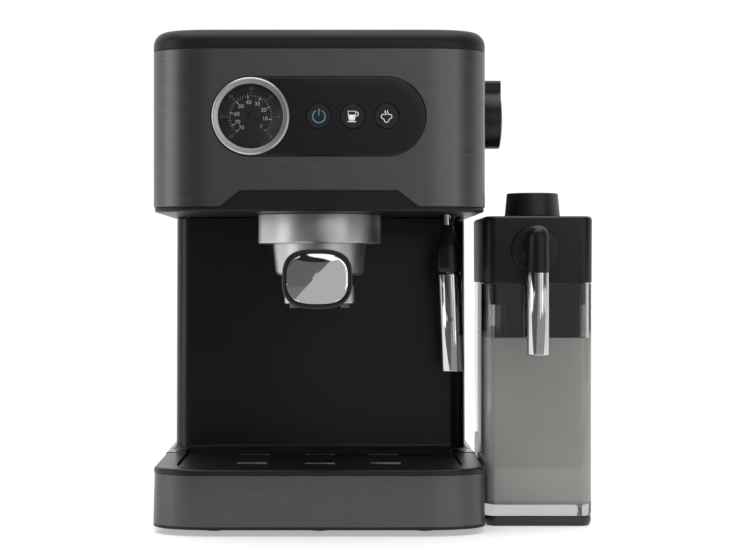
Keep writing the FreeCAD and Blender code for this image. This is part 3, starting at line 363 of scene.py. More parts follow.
def moulding():
    """The faint even grain of a moulded plastic, with slow patches of handling."""
    tree, given, result = effect("moulded grain", [("Grain", 1400.0), ("Patch", 22.0)],
                                 [("Height", "NodeSocketFloat"), ("Handling", "NodeSocketFloat")])
    where = node(tree, "TexCoord").outputs["Object"]
    grain = node(tree, "TexNoise", {"Vector": where, "Scale": given.outputs["Grain"],
                                    "Detail": 2.0})
    patch = node(tree, "TexNoise", {"Vector": where, "Scale": given.outputs["Patch"],
                                    "Detail": 4.0})
    tree.links.new(grain.outputs["Fac"], result.inputs["Height"])
    tree.links.new(patch.outputs["Fac"], result.inputs["Handling"])
    return tree


BRUSHING, MOULDING = brushing(), moulding()


# %% [markdown]
# A finish is one Principled shader with an effect group in front of it. `plastic` and `metal`
# cover most of the machine; the numbers in each call are what tell a satin lid from a polished
# column.

# %% Finish builders
def shader(name, colour, roughness, **sockets):
    """A material with one Principled shader whose plain values sit on its own sockets."""
    material = bpy.data.materials.new(name)
    material.use_nodes = True
    principled = material.node_tree.nodes["Principled BSDF"]
    principled.inputs["Base Color"].default_value = (*colour, 1)
    principled.inputs["Roughness"].default_value = roughness
    for label, value in sockets.items():
        principled.inputs[label.replace("_", " ")].default_value = value
    material.diffuse_color = (*colour, 1)
    return material, material.node_tree, principled


def spread(tree, value, low, high):
    """A mask of 0 to 1 remapped to a range."""
    return node(tree, "MapRange", {"Value": value, "To Min": low, "To Max": high}).outputs[0]


def tint(tree, mask, dark, light):
    """Mixes two colours by a mask."""
    mix = node(tree, "Mix", {0: mask}, data_type="RGBA")
    mix.inputs[6].default_value, mix.inputs[7].default_value = (*dark, 1), (*light, 1)
    return mix.outputs[2]


def bump(tree, principled, height, strength, distance=0.0001):
    rise = node(tree, "Bump", {"Height": height, "Strength": strength, "Distance": distance})
    tree.links.new(rise.outputs[0], principled.inputs["Normal"])


def grouped(tree, effect_tree, **values):
    placed = tree.nodes.new("ShaderNodeGroup")
    placed.node_tree = effect_tree
    for label, value in values.items():
        placed.inputs[label].default_value = value
    return placed.outputs


def plastic(name, colour, roughness, grain=0.12, wander=0.06, **sockets):
    """Moulded plastic: even colour, a trace of grain, and roughness that wanders a little."""
    material, tree, principled = shader(name, colour, roughness, **sockets)
    out = grouped(tree, MOULDING)
    lighter = [min(1, c * 1.25 + 0.001) for c in colour]
    tree.links.new(tint(tree, out["Handling"], colour, lighter), principled.inputs["Base Color"])
    tree.links.new(spread(tree, out["Handling"], roughness - wander, roughness + wander),
                   principled.inputs["Roughness"])
    bump(tree, principled, out["Height"], grain, 0.00005)
    return material


def brushed(name, dark, light, low, high, strength=0.2, fineness=1500.0, length=75.0):
    """Brushed metal: level hairlines in height, colour and roughness."""
    material, tree, principled = shader(name, dark, low, Metallic=1.0)
    out = grouped(tree, BRUSHING, Fineness=fineness, Length=length)
    tree.links.new(tint(tree, out["Streak"], dark, light), principled.inputs["Base Color"])
    tree.links.new(spread(tree, out["Streak"], low, high), principled.inputs["Roughness"])
    bump(tree, principled, out["Height"], strength, 0.00004)
    return material


def metal(name, colour, roughness, grain=0.03, wander=0.04):
    """Satin or polished metal with a trace of wander in its gloss."""
    material, tree, principled = shader(name, colour, roughness, Metallic=1.0)
    out = grouped(tree, MOULDING, Grain=900.0, Patch=35.0)
    darker = [c * 0.93 for c in colour]
    tree.links.new(tint(tree, out["Handling"], colour, darker), principled.inputs["Base Color"])
    tree.links.new(spread(tree, out["Handling"], max(roughness - wander, 0.01), roughness + wander),
                   principled.inputs["Roughness"])
    bump(tree, principled, out["Height"], grain, 0.00003)
    return material


def clear(name, colour, roughness, ior=1.49):
    """Clear or smoked moulding. Smoke is the colour of what the wall lets through."""
    material, tree, principled = shader(name, colour, roughness, Transmission_Weight=1.0, IOR=ior)
    out = grouped(tree, MOULDING, Grain=300.0, Patch=14.0)
    bump(tree, principled, out["Handling"], 0.02, 0.0002)
    return material


# %% [markdown]
# The machine's palette: dark brushed steel, whose copy on the base is a shade darker as painted
# shade, blacks that differ mostly in gloss and grain, silver that is satin on the brew group and
# polished on pipes, and smoked clear plastic. The jug is real refracting plastic, so that its
# thick floor and its corners bend what is behind them. The tank's wall is thin, so plain
# see-through plastic is enough there, and it renders without noise.

# %% The palette
DARK_STEEL = brushed("dark brushed steel", (0.098, 0.096, 0.096), (0.148, 0.145, 0.145),
                     0.30, 0.42)
# The head's steel made a shade darker for the base bands: painted shade, not a different metal.
SHADED_BASE_STEEL = brushed("base brushed steel with painted shade", (0.078, 0.0765, 0.0765), (0.118, 0.116, 0.116),
                     0.30, 0.42)
LID_BLACK = plastic("lid satin black", (0.008, 0.0077, 0.0077), 0.38, Specular_IOR_Level=0.25)
GLOSS_BLACK = plastic("column gloss black", (0.0065, 0.0065, 0.0065), 0.2, grain=0.02, wander=0.03,
                      Specular_IOR_Level=0.28)
PANEL_BLACK = plastic("panel black", (0.005, 0.005, 0.005), 0.24, grain=0.02, wander=0.03,
                      Specular_IOR_Level=0.33)
TRAY_BLACK = plastic("tray black", (0.005, 0.0048, 0.0048), 0.33, grain=0.05, wander=0.04,
                     Specular_IOR_Level=0.3)
BUTTON_BLACK = plastic("button black", (0.006, 0.0058, 0.0058), 0.4, grain=0.1,
                       Specular_IOR_Level=0.4)
GRIP_BLACK = plastic("grip black", (0.004, 0.004, 0.004), 0.38, grain=0.2, Specular_IOR_Level=0.35)
JUG_BLACK = plastic("jug lid black", (0.003, 0.003, 0.003), 0.33, grain=0.05,
                    Specular_IOR_Level=0.32)
KNOB_BLACK = plastic("froth dial black", (0.008, 0.008, 0.008), 0.42, grain=0.1)
RUBBER_BLACK = plastic("black rubber", (0.01, 0.01, 0.01), 0.65, grain=0.3)
OUTLET_GREY = plastic("outlet grey", (0.055, 0.06, 0.065), 0.4)
TECHNICAL_GREY = plastic("technical grey", (0.08, 0.08, 0.08), 0.5, grain=0.25)
HOSE_MILKY = plastic("milky hose", (0.55, 0.55, 0.52), 0.35)
SATIN_SILVER = metal("satin silver", (0.5, 0.5, 0.495), 0.36)
CHROME = metal("chrome", (0.55, 0.55, 0.555), 0.05, grain=0.0, wander=0.02)
MIRROR = metal("handle mirror", (0.9, 0.9, 0.905), 0.03, grain=0.0, wander=0.01)
PLAIN_STEEL = metal("plain steel", (0.55, 0.55, 0.54), 0.3)
CAST_ALUMINIUM = metal("cast aluminium", (0.5, 0.5, 0.5), 0.5, grain=0.4)
BRASS = metal("machined brass", (0.62, 0.45, 0.2), 0.25)
NEEDLE_DARK = metal("needle lacquer", (0.03, 0.03, 0.03), 0.4)
BOARD_GREEN = plastic("board green", (0.02, 0.12, 0.05), 0.4)
DIAL_BLACK = plastic("dial black", (0.003, 0.003, 0.003), 0.5)
PRINT_WHITE = plastic("white print", (0.95, 0.95, 0.94), 0.5, grain=0.02)
PRINT_TEAL = plastic("teal print", (0.10, 0.33, 0.42), 0.5, grain=0.02)
LENS = clear("gauge lens", (1, 1, 1), 0.01)
TANK_SMOKE = plastic("tank smoke", (0.02, 0.02, 0.02), 0.09, grain=0.0, wander=0.03, Alpha=0.5)
JUG_SMOKE = clear("jug smoke", (0.5, 0.5, 0.495), 0.02)
MILK = plastic("milk", (0.8, 0.79, 0.765), 0.25, grain=0.0)
SOLE_GREY = plastic("jug sole grey", (0.016, 0.016, 0.016), 0.3, grain=0.05)

# %% [markdown]
# Engineering nodes that stay visible, mostly inside the machine, only change their finish. They
# could all be plain grey, but when the tank or the drawer is off, one looks in on them, and a
# pump, a brass valve and a hose should then look like what they are.

# %% Finishes for carried-over nodes
carried_over = {
    "chassis": PLAIN_STEEL, "filter_basket": PLAIN_STEEL, "shower_screen": PLAIN_STEEL,
    "shower_screw": PLAIN_STEEL, "case_screws": PLAIN_STEEL, "valve_stem": PLAIN_STEEL,
    "boiler": CAST_ALUMINIUM, "boiler_cover": CAST_ALUMINIUM, "steam_valve": BRASS,
    "wand_socket": BRASS, "group_gasket": RUBBER_BLACK, "pump_mounts": RUBBER_BLACK,
    "suction_hose": HOSE_MILKY, "pressure_hose": HOSE_MILKY, "steam_line": HOSE_MILKY,
    "pump": TECHNICAL_GREY, "three_way_valve": TECHNICAL_GREY, "gauge_movement": TECHNICAL_GREY,
    "micro_switches": TECHNICAL_GREY, "tank_socket": TECHNICAL_GREY, "cord_gland": TECHNICAL_GREY,
    "control_board": BOARD_GREEN, "tank_valve": JUG_BLACK, "froth_body": JUG_BLACK,
    "base_pan": TRAY_BLACK,
}
for name, material in carried_over.items():
    for index in range(len(nodes[name].material_slots)):
        nodes[name].material_slots[index].material = material
    nodes[name].data.shade_smooth()
print("refinished", len(carried_over), "carried-over nodes")

# %% [markdown]
# ## The head
# The head is a sheet of brushed dark steel bent round three sides, with big soft front corners.
# It is a thin sheet, so it is made as one: a grid along the bent line and up, given its gauge by
# Solidify, then pierced for the panel, the shaft of the steam knob and the notch under the chin.

# %% Bent sheets
SOFT_CORNER, SOFT_POWER = (38.0, 27.0), 2.15


def soft_fronted(left, right, near, far, back_corner):
    """The machine's plan: big soft corners in front, small round ones of one radius behind."""
    return cornered(left, right, near, far, SOFT_CORNER, (back_corner, back_corner), steps=20,
                    power=SOFT_POWER)


def bent_sheet(name, outline, levels, thickness=1.0):
    """A strip that follows an open outline; each level is (height, inset)."""
    rings = np.array([turned_to("Z", outline(inset), level) for level, inset in levels])
    count, around = rings.shape[:2]
    row, col = np.meshgrid(np.arange(count - 1), np.arange(around - 1), indexing="ij")
    first = row * around + col
    quads = np.stack([first, first + 1, first + around + 1, first + around], -1).reshape(-1, 4)
    piece = new_mesh(name, rings.reshape(-1, 3), quads.tolist())
    wall = piece.modifiers.new("gauge", "SOLIDIFY")
    wall.thickness, wall.offset = thickness * MM, -1
    return piece


def front_wrap(left, right, near, far):
    """The bent line of a sheet that is open at its back: side, soft corner, front, corner, side."""
    closed = soft_fronted(left, right, near, far, 0.1)
    count = 21

    def outline(inset):
        ring = closed(inset)
        right_corner, left_corner = ring[:count], ring[3 * count:4 * count]
        ends = np.array([[right - inset, far], [left + inset, far]])
        return np.concatenate([ends[1:], left_corner, right_corner, ends[:1]])
    return outline


# %% Head wrap
low, high = span("head_wrap")
panel_low, panel_high = span("control_panel")
gauge_low, gauge_high = span("gauge_bezel")
panel_up = (gauge_low[2] + gauge_high[2]) / 2
gauge_across = (gauge_low[0] + gauge_high[0]) / 2
button_radius = (span("button_brew")[1][0] - span("button_brew")[0][0]) / 2
button_across = [(span(name)[0][0] + span(name)[1][0]) / 2
                 for name in ("button_power", "button_brew", "button_steam")]
panel_half = 24.6
PANEL_GAP = 0.35
panel_right = gauge_across + (button_across[2] - gauge_across) * 0.9988
stem_low, stem_high = span("valve_stem")
shaft_depth, shaft_up = (stem_low[1] + stem_high[1]) / 2, (stem_low[2] + stem_high[2]) / 2

wrap = bent_sheet("head_wrap_sheet", front_wrap(low[0], high[0], low[1], high[1]),
                  [(low[2], 0), (high[2] - 0.3, 0)])
window = carried("cutter", stadium(gauge_across, panel_right, panel_up, panel_half + PANEL_GAP),
                 [(0, -2), (0, 6)], "Y")
NOTCH_FOOT, NOTCH_TOP, NOTCH_RISE = 61.9, 49.0, 10.1
notch_line = rounded([(-80, -2), (-NOTCH_FOOT - 0.1, -2), (-NOTCH_FOOT, 0.02, 3),
                      (-NOTCH_TOP, NOTCH_RISE, 4), (NOTCH_TOP, NOTCH_RISE, 4),
                      (NOTCH_FOOT, 0.02, 3), (NOTCH_FOOT + 0.1, -2), (80, -2)], 6)[1:-1]
notch = slab("cutter", notch_line + (0, low[2]), (-2, 8))
shaft_hole = lathed("cutter", (high[0], shaft_depth, shaft_up), [(5.5, -4), (5.5, 4)], "X", 48)
soften(carve(wrap, [window, notch, shaft_hole]), 0.22, 2)
settle(wrap, "machine", "dark_steel", DARK_STEEL, "head_wrap")
print("head wrap", np.round(high - low, 1))

# %% [markdown]
# The lid is a deep moulding with a generous rounding all the way round and a shallow shelf on
# top for warming cups. One profile says all of it: under the rim, up the side, over the
# rounding, across, and down the little step into the shelf. A cube with bevels would give the
# outside, but not the shelf that follows the same plan. The chin is the black tray that closes
# the head from below, cut open for the brew group, the steam wand and the column.

# %% Head lid and chin
low, high = span("head_lid")
lid_outline = soft_fronted(low[0], high[0], low[1], high[1], 9)
profile = rounded([(8, low[2]), (0, low[2], 0.5), (0, high[2], 9), (20.6, high[2], 0.8),
                   (21.4, high[2] - 1.4, 0.8), (24, high[2] - 1.4)], 10)
lid = carried("head_lid_cover", lid_outline, profile)
settle(lid, "machine", "black_satin", LID_BLACK, "head_lid")

low, high = span("head_chin")
chin_outline = soft_fronted(low[0], high[0], low[1], high[1], 0.5)
profile = rounded([(14, low[2]), (0.2, low[2], 1.3), (0.2, low[2] + 3.0, 0.3), (0.8, low[2] + 3.1),
                   (0.8, high[2]), (2.8, high[2]), (2.8, low[2] + 2.4), (14, low[2] + 2.4)], 5)
chin = carried("head_chin_tray", chin_outline, profile)
column_low, column_high = span("column_housing")
ring_low, ring_high = span("group_ring")
group_depth = (ring_low[1] + ring_high[1]) / 2
socket_low, socket_high = span("wand_socket")
wand_across, wand_depth = ((socket_low + socket_high) / 2)[:2]
GROUP_HOLE, WAND_HOLE = 33.6, 5.6
carve(chin, [
    lathed("cutter", (0, group_depth, 0), [(GROUP_HOLE, low[2] - 1), (GROUP_HOLE, low[2] + 5)]),
    lathed("cutter", (wand_across, wand_depth, 0),
           [(WAND_HOLE, low[2] - 1), (WAND_HOLE, low[2] + 5)], count=40),
    block("cutter", -97.9, 97.9, 138, high[1] + 2, low[2] - 1, low[2] + 5),
    block("cutter", -110, 110, high[1] - 3, high[1] + 2, low[2] + 3.3, high[2] + 2)])
soften(chin, 0.25)
settle(chin, "machine", "black_satin", LID_BLACK, "head_chin")

# %% [markdown]
# ## The control panel
# The panel is a stadium of black plastic with a soft satin face. The gauge and the buttons sit
# in holes with a fine dark gap. The gap could be a black line in the finish, but a real gap
# stays right from the side too, and the buttons can move in it.

# %% Panel plate
panel_face, sheet_back = panel_low[1], 1.3
panel = carried("control_panel_plate", stadium(gauge_across, panel_right, panel_up, panel_half),
                rounded([(6, panel_high[1]), (-2.8, panel_high[1]), (-2.8, sheet_back),
                         (0, sheet_back), (0, panel_face, 0.9), (6, panel_face)], 6), "Y")
GAUGE_HOLE, button_hole = 22.5, button_radius + 0.4
holes = [lathed("cutter", (across, 0, panel_up), [(button_hole, -4), (button_hole, 6)], "Y", 64)
         for across in button_across]
holes.append(lathed("cutter", (gauge_across, 0, panel_up), [(GAUGE_HOLE, -4), (GAUGE_HOLE, 6)],
                    "Y", 96))
soften(carve(panel, holes), 0.25, 3)
settle(panel, "machine", "panel_black", PANEL_BLACK, "control_panel")

# %% [markdown]
# The gauge's bezel is turned metal with a rolled outer edge and a bright inner lip, so its
# profile has two crests and a shallow valley between them. Behind it lie a slightly domed lens
# and the black dial. All three are lathe work, so all three are profiles turned about one axis.

# %% Gauge
gauge = (gauge_across, 0, panel_up)
bezel_radius = (gauge_high[0] - gauge_low[0]) / 2
dial_low, dial_high = span("gauge_dial")
dial_radius = (dial_high[0] - dial_low[0]) / 2
bezel_profile = rounded([
    (dial_radius - 0.2, 3.0), (dial_radius - 0.2, -1.6), (dial_radius + 0.1, -2.5, 0.3),
    (dial_radius + 0.9, -2.6, 0.3), (bezel_radius - 1.3, -3.1, 0.8), (bezel_radius, -2.4, 0.8),
    (bezel_radius, -0.7), (bezel_radius - 1.9, -0.7), (bezel_radius - 1.9, 3.0)], 5)
bezel = lathed("gauge_bezel_ring", gauge, bezel_profile, "Y", 128, loop=True)
settle(bezel, "machine", "satin_silver", SATIN_SILVER, "gauge_bezel")

glass = lathed("gauge_lens", gauge, [(dial_radius - 0.25, -0.8), (dial_radius - 0.25, -1.5),
                                     (dial_radius * 0.7, -1.75), (dial_radius * 0.35, -1.85),
                                     (0.4, -1.9)], "Y", 96)
settle(glass, "machine", "gauge_clear", LENS, "gauge_glass")

dial = lathed("gauge_dial_plate", gauge, rounded([(0.86, 4.2), (dial_radius - 0.3, 4.2),
                                                  (dial_radius - 0.3, 3.2, 0.2), (0.86, 3.2)], 3),
              "Y", 96, loop=True)
settle(dial, "machine", "dial_face", DIAL_BLACK, "gauge_dial")

# %% [markdown]
# Everything printed on the dial and the buttons is real geometry, a tenth of a millimetre
# thick: ticks are one array of little bars, symbols are ribbons along a path, and figures are
# Blender text that is turned into a mesh. Print could also be a picture on the face, but raised
# shapes stay crisp at any distance and need no image.

# %% Print
PRINT_RISE = 0.1


def bars(name, centre, angles, inner, outer, width, face):
    """Radial bars at angles in degrees, as closed boxes that lie on a face at one depth."""
    a = np.radians(np.asarray(angles, float))[:, None, None]
    along = np.array([inner, outer, outer, inner])[None, :, None]
    side = np.array([-1, -1, 1, 1])[None, :, None] * width / 2
    x = centre[0] + along * np.cos(a) - side * np.sin(a)
    z = centre[2] + along * np.sin(a) + side * np.cos(a)
    flat = [np.concatenate([x, np.full_like(x, depth), z], 2)
            for depth in (face, face - PRINT_RISE)]
    points = np.concatenate(flat, 1)
    sides = [(0, 1, 2, 3), (7, 6, 5, 4), (0, 4, 5, 1), (1, 5, 6, 2), (2, 6, 7, 3), (3, 7, 4, 0)]
    faces = [tuple(8 * n + k for k in quad) for n in range(len(points)) for quad in sides]
    return new_mesh(name, points.reshape(-1, 3), faces)


def ribbon(name, path, width, face, closed=False):
    """A flat ribbon of one width along a path of (across, up), raised off a face."""
    path = np.asarray(path, float)
    ahead = np.roll(path, -1, 0) - np.roll(path, 1, 0)
    if not closed:
        ahead[0], ahead[-1] = path[1] - path[0], path[-1] - path[-2]
    ahead /= np.linalg.norm(ahead, axis=1)[:, None]
    side = np.stack([-ahead[:, 1], ahead[:, 0]], 1) * width / 2
    ring = np.stack([path - side, path + side, path + side, path - side], 1)
    depth = np.array([face, face, face - PRINT_RISE, face - PRINT_RISE])
    rings = np.stack([ring[..., 0], np.broadcast_to(depth, ring.shape[:2]), ring[..., 1]], -1)
    return skin(name, rings, caps=not closed, loop=closed)


def filled(name, outline, face):
    """A filled shape of (across, up) points, raised off a face."""
    return slab(name, outline, (face, face - PRINT_RISE))


def figure(name, words, across, up, face, height):
    """Text of one height, centred on a point of a face."""
    curve = bpy.data.curves.new(name, "FONT")
    curve.body, curve.size, curve.extrude = words, height * MM, PRINT_RISE * MM / 2
    curve.align_x, curve.align_y, curve.resolution_u = "CENTER", "CENTER", 4
    text = linked(name, curve)
    bpy.context.view_layer.update()
    evaluated = text.evaluated_get(bpy.context.evaluated_depsgraph_get())
    mesh = bpy.data.meshes.new_from_object(evaluated)
    bpy.data.objects.remove(text)
    points = np.empty(len(mesh.vertices) * 3, np.float32)
    mesh.vertices.foreach_get("co", points)
    points = points.reshape(-1, 3)
    where = spot(across, face, up)
    turned = np.stack([points[:, 0], -points[:, 2] - PRINT_RISE * MM / 2, points[:, 1]], 1) + where
    mesh.vertices.foreach_set("co", turned.astype(np.float32).ravel())
    mesh.update()
    return linked(name, mesh)


def joined(name, pieces):
    """One piece out of several, merged at mesh level."""
    work = bmesh.new()
    for piece in pieces:
        work.from_mesh(piece.data)
        discard(piece)
    bmesh.ops.remove_doubles(work, verts=work.verts, dist=1e-7)
    bmesh.ops.recalc_face_normals(work, faces=work.faces)
    mesh = bpy.data.meshes.new(name)
    work.to_mesh(mesh)
    work.free()
    return linked(name, mesh)


# %% [markdown]
# The dial has two generic pressure scales. The inner one is white and runs from 0 to 76, the
# outer one is teal and runs from 0 to 30. Both start at the lower right and turn
# anticlockwise, so a reading's angle is a start angle plus a step per unit.

# %% Dial print
face = dial_low[1]


def around_dial(radius, degrees):
    return (gauge_across + radius * math.cos(math.radians(degrees)),
            panel_up + radius * math.sin(math.radians(degrees)))


def inner_angle(value):
    return -43.5 + 3.55 * value


def outer_angle(value):
    return -45.0 + 9.0 * value


white = [bars("ticks", gauge, [inner_angle(v) for v in range(0, 77, 10)] + [inner_angle(76)],
              11.3, 13.3, 0.62, face),
         bars("ticks", gauge, [inner_angle(v) for v in range(0, 77, 2)], 12.5, 13.3, 0.26, face)]
for value in (0, 10, 20, 30, 40, 50, 60, 70, 76):
    across, up = around_dial(8.9, inner_angle(value) + (3.5 if value == 76 else 0)
                             - (3.0 if value == 70 else 0))
    white.append(figure("figure", str(value), across, up, face, 3.5))
print_white = joined("dial_print_white", white)
settle(print_white, "machine", "dial_face", PRINT_WHITE)

teal = [bars("ticks", gauge, [outer_angle(v) for v in range(0, 31, 5)], 13.9, 15.6, 0.45, face),
        bars("ticks", gauge, [outer_angle(v) for v in range(0, 31)], 13.8, 14.6, 0.26, face)]
for value in range(0, 31, 5):
    across, up = around_dial(17.5, outer_angle(value))
    teal.append(figure("figure", str(value), across, up, face, 2.9))
print_teal = joined("dial_print_teal", teal)
settle(print_teal, "machine", "dial_face", PRINT_TEAL)

# %% [markdown]
# The needle is a slim tapered blade with a counterweight, dark so that the print stays legible,
# under a small domed hub. It is drawn pointing up and then turned to the scale's zero.

# %% Needle
hub_end = span("gauge_needle")[1][1] - 1
blade = rounded([(-0.1, 14.3), (0.1, 14.3, 0.05), (0.62, 0), (0.7, -4.2, 0.3), (-0.7, -4.2, 0.3),
                 (-0.62, 0), (-0.1, 14.3)], 4)[:-1]
turn = math.radians(90 - inner_angle(0))
blade = blade @ np.array([[math.cos(turn), -math.sin(turn)], [math.sin(turn), math.cos(turn)]])
blade += np.array([gauge_across, panel_up])
strip = slab("blade", blade, (1.7, 2.15))
hub = lathed("hub", gauge, rounded([(0.01, hub_end), (0.78, hub_end), (0.78, 2.6), (2.5, 2.6),
                                    (2.5, 1.4, 0.6), (0.01, 1.2)], 5), "Y", 48)
needle = joined("gauge_needle_blade", [strip, hub])
settle(smooth(needle), "needle", "needle_dark", NEEDLE_DARK, "gauge_needle")

# %% [markdown]
# The three push buttons are shallow dishes with a printed symbol each: power, a cup and steam.
# Their symbols are made from arcs, so they stay crisp at any size.

# %% Push buttons
BUTTON_DISH = 0.1


def arc(across, up, radius, start, end, count=28):
    t = np.radians(np.linspace(start, end, count))
    return np.stack([across + radius * np.cos(t), up + radius * np.sin(t)], 1)


def power_symbol(across, face):
    return [ribbon("ring", arc(across, panel_up - 0.1, 3.9, 116, 424), 0.5, face),
            ribbon("bar", [(across, panel_up + 0.6), (across, panel_up + 4.8)], 0.5, face)]


def cup_symbol(across, face):
    up = panel_up
    bowl = rounded([(across - 3.0, up + 3.1), (across - 2.3, up - 2.5, 1.3),
                    (across + 1.2, up - 2.5, 1.3), (across + 1.9, up + 3.1),
                    (across - 3.0, up + 3.1)], 8)[:-1]
    coffee = rounded([(across - 2.7, up + 0.9), (across - 2.3, up - 2.4, 1.1),
                      (across + 1.2, up - 2.4, 1.1), (across + 1.6, up + 0.9)], 6)
    handle = rounded([(across + 1.9, up + 2.6), (across + 3.4, up + 2.6, 1.0),
                      (across + 3.4, up + 0.1, 1.0), (across + 1.7, up + 0.1)], 6)
    return [ribbon("bowl", bowl, 0.45, face, closed=True), filled("coffee", coffee, face),
            ribbon("handle", handle, 0.45, face),
            ribbon("saucer", [(across - 3.0, up - 3.35), (across + 2.0, up - 3.35)], 0.6, face)]


def steam_symbol(across, face):
    up = panel_up - 0.9
    cloud = np.concatenate([arc(across - 1.9, up + 0.7, 1.4, 60, 270),
                            arc(across, up - 1.5, 1.4, 180, 360),
                            arc(across + 1.9, up + 0.7, 1.4, -90, 120)])
    wave = np.linspace(0, 1, 14)
    strands = [np.stack([across + x + 0.3 * np.sin(wave * 2 * math.pi), up + 1.6 + 2.9 * wave], 1)
               for x in (-0.75, 0.75)]
    return [ribbon("cloud", cloud, 0.42, face)] + [ribbon("wisp", s, 0.42, face) for s in strands]


BUTTONS = [("button_power", "power_button", power_symbol, PRINT_TEAL),
           ("button_brew", "brew_button", cup_symbol, PRINT_WHITE),
           ("button_steam", "steam_button", steam_symbol, PRINT_WHITE)]
for (name, body, symbol, ink), across in zip(BUTTONS, button_across):
    low, high = span(name)
    dish = np.linspace(button_radius - 1.2, 0.05, 8)
    top = np.stack([dish, low[1] + 0.05 + BUTTON_DISH * (1 - (dish / dish[0]) ** 2)], 1)
    profile = np.concatenate([
        rounded([(0.05, high[1]), (1.8, high[1], 0.3), (1.8, 4.4), (button_radius, 4.4, 0.3),
                 (button_radius, low[1], 0.8), (button_radius - 1.2, low[1] + 0.05)], 5), top])
    cap = lathed(name + "_cap", (across, 0, panel_up), profile, "Y", 72)
    settle(cap, body, "button_black", BUTTON_BLACK, name)
    mark = joined(name + "_symbol", symbol(across, low[1] + BUTTON_DISH + 0.02))
    settle(mark, body, "button_black", ink)
print("controls done,", len(finished), "pieces so far")

# %% [markdown]
# ## The brew group
# The group ring, the portafilter and the twin spout are satin castings. They are bodies of
# revolution with small honest radii, apart from the spout block, which is a rounded brick. The
# bowl's neck and its two bayonet lugs are joined to it by a union, as they are one casting.

# %% Group ring and portafilter
ring_radius, ring_mouth = (ring_high[0] - ring_low[0]) / 2, 31.4
ring_bottom, ring_top = ring_low[2], ring_high[2]
bayonet_low, bayonet_high = 185.8, 191.8
profile = rounded([(ring_mouth, ring_bottom), (ring_radius, ring_bottom, 1.1),
                   (ring_radius, ring_top, 0.6), (33.2, ring_top), (33.2, bayonet_high),
                   (36.6, bayonet_high), (36.6, bayonet_low), (ring_mouth, bayonet_low),
                   (ring_mouth, ring_bottom)], 6)[:-1]
ring = lathed("group_ring_casting", (0, group_depth, 0), profile, "Z", 144, loop=True)
settle(soften(ring, 0.15), "machine", "satin_silver", SATIN_SILVER, "group_ring")

low, high = span("portafilter_head")
bowl_top, bowl_low = high[2], low[2]
outer = rounded([(5, bowl_low + 4.2), (5, bowl_low), (28.4, bowl_low, 4.0), (30.3, 181),
                 (30.4, bowl_top), (28.5, bowl_top), (28.5, bowl_low + 4.2, 3),
                 (5, bowl_low + 4.2)], 8)[:-1]
bowl = lathed("portafilter_bowl", (0, group_depth, 0), outer, "Z", 128, loop=True)
neck = lathed("neck", (0, 0, 169.5), rounded([(0.05, 10), (7.7, 10, 1), (7.7, group_depth - 29),
                                              (0.05, group_depth - 28.9)], 4), "Y", 64)
lugs = [block("lug", side * 31.3 - 3.3, side * 31.3 + 3.3, group_depth - 9, group_depth + 9,
              186.6, 189.8, 0.6) for side in (-1, 1)]
carve(bowl, [neck] + lugs, "UNION")
settle(soften(bowl, 0.3), "portafilter", "satin_silver", SATIN_SILVER, "portafilter_head")

low, high = span("spout_block")
tip_low, tip_high = span("spout_outlets")
outlet_offset = (tip_high[0] - tip_low[0]) / 2 - 3.1
shoulder = 157.0
spout_outline = cornered(low[0], high[0], low[1], high[1], (5, 5), (5, 5), 10)
spout = carried("spout_block_casting", spout_outline,
                rounded([(8, low[2]), (0, low[2], 1.4), (0, shoulder, 2.2), (8, shoulder)], 6))
stub = lathed("stub", (0, group_depth, 0), [(9, shoulder - 1), (9, high[2])])
carve(spout, [stub], "UNION")
carve(spout, [lathed("cutter", (side * outlet_offset, group_depth, 0),
                     [(3.15, low[2] - 2), (3.15, 150)], count=40) for side in (-1, 1)])
settle(soften(spout, 0.4, 3), "portafilter", "satin_silver", SATIN_SILVER, "spout_block")

tube = rounded([(2.2, tip_high[2]), (2.2, tip_low[2]), (3.1, tip_low[2], 0.4), (3.1, tip_high[2]),
                (2.2, tip_high[2])], 4)[:-1]
outlets = joined("coffee_outlets", [
    lathed("tube", (side * outlet_offset, group_depth, 0), tube, "Z", 40, loop=True)
    for side in (-1, 1)])
settle(smooth(outlets), "portafilter", "outlet_grey", OUTLET_GREY, "spout_outlets")

# %% [markdown]
# The handle points straight at the user. It is lofted through superellipses that grow towards
# the end, where a polished plate sits in a thin black rim. The rim is the last few rings of the
# same loft, turned back into the recess. Each station is (depth, half width, half height, how
# far its middle lies above the plate's), and the first six are blended into forty rings. The
# plate is crowned by a millimetre, as a flat one would mirror one dull patch of the room.

# %% Portafilter handle
grip_end = span("handle_grip")[0][1]
cap_low, cap_high = span("handle_cap")
handle_up = (cap_low[2] + cap_high[2]) / 2
stations = np.array([(9.9, 11.0, 8.5, 9.0), (-8, 12.4, 10.5, 7.0), (-34, 15.0, 13.2, 4.2),
                     (-60, 17.4, 15.3, 1.6), (-88, 19.3, 16.6, 0.4),
                     (grip_end + 8, 19.9, 16.9, 0.05), (grip_end + 1.2, 19.7, 16.9, 0),
                     (grip_end + 0.35, 19.4, 16.6, 0), (grip_end, 18.9, 16.1, 0),
                     (grip_end, 18.4, 15.3, 0), (grip_end + 0.3, 18.05, 14.9, 0),
                     (grip_end + 3.8, 18.0, 14.8, 0)])
depths = np.concatenate([np.linspace(9.9, grip_end + 8, 40), stations[6:, 0]])
wide, tall, drop = (np.concatenate([np.interp(-depths[:40], -stations[:6, 0], stations[:6, k]),
                                    stations[6:, k]]) for k in (1, 2, 3))


def oval(half_wide, half_tall, up, power):
    return squircle(0, up, half_wide, half_tall, power, 112)(0)


HANDLE_POWER = 2.9
rings = np.array([turned_to("Y", oval(w, t, handle_up + d, HANDLE_POWER), y)
                  for y, w, t, d in zip(depths, wide, tall, drop)])
grip = skin("handle_grip_moulding", rings, angle=50)
settle(grip, "portafilter", "grip_black", GRIP_BLACK, "handle_grip")

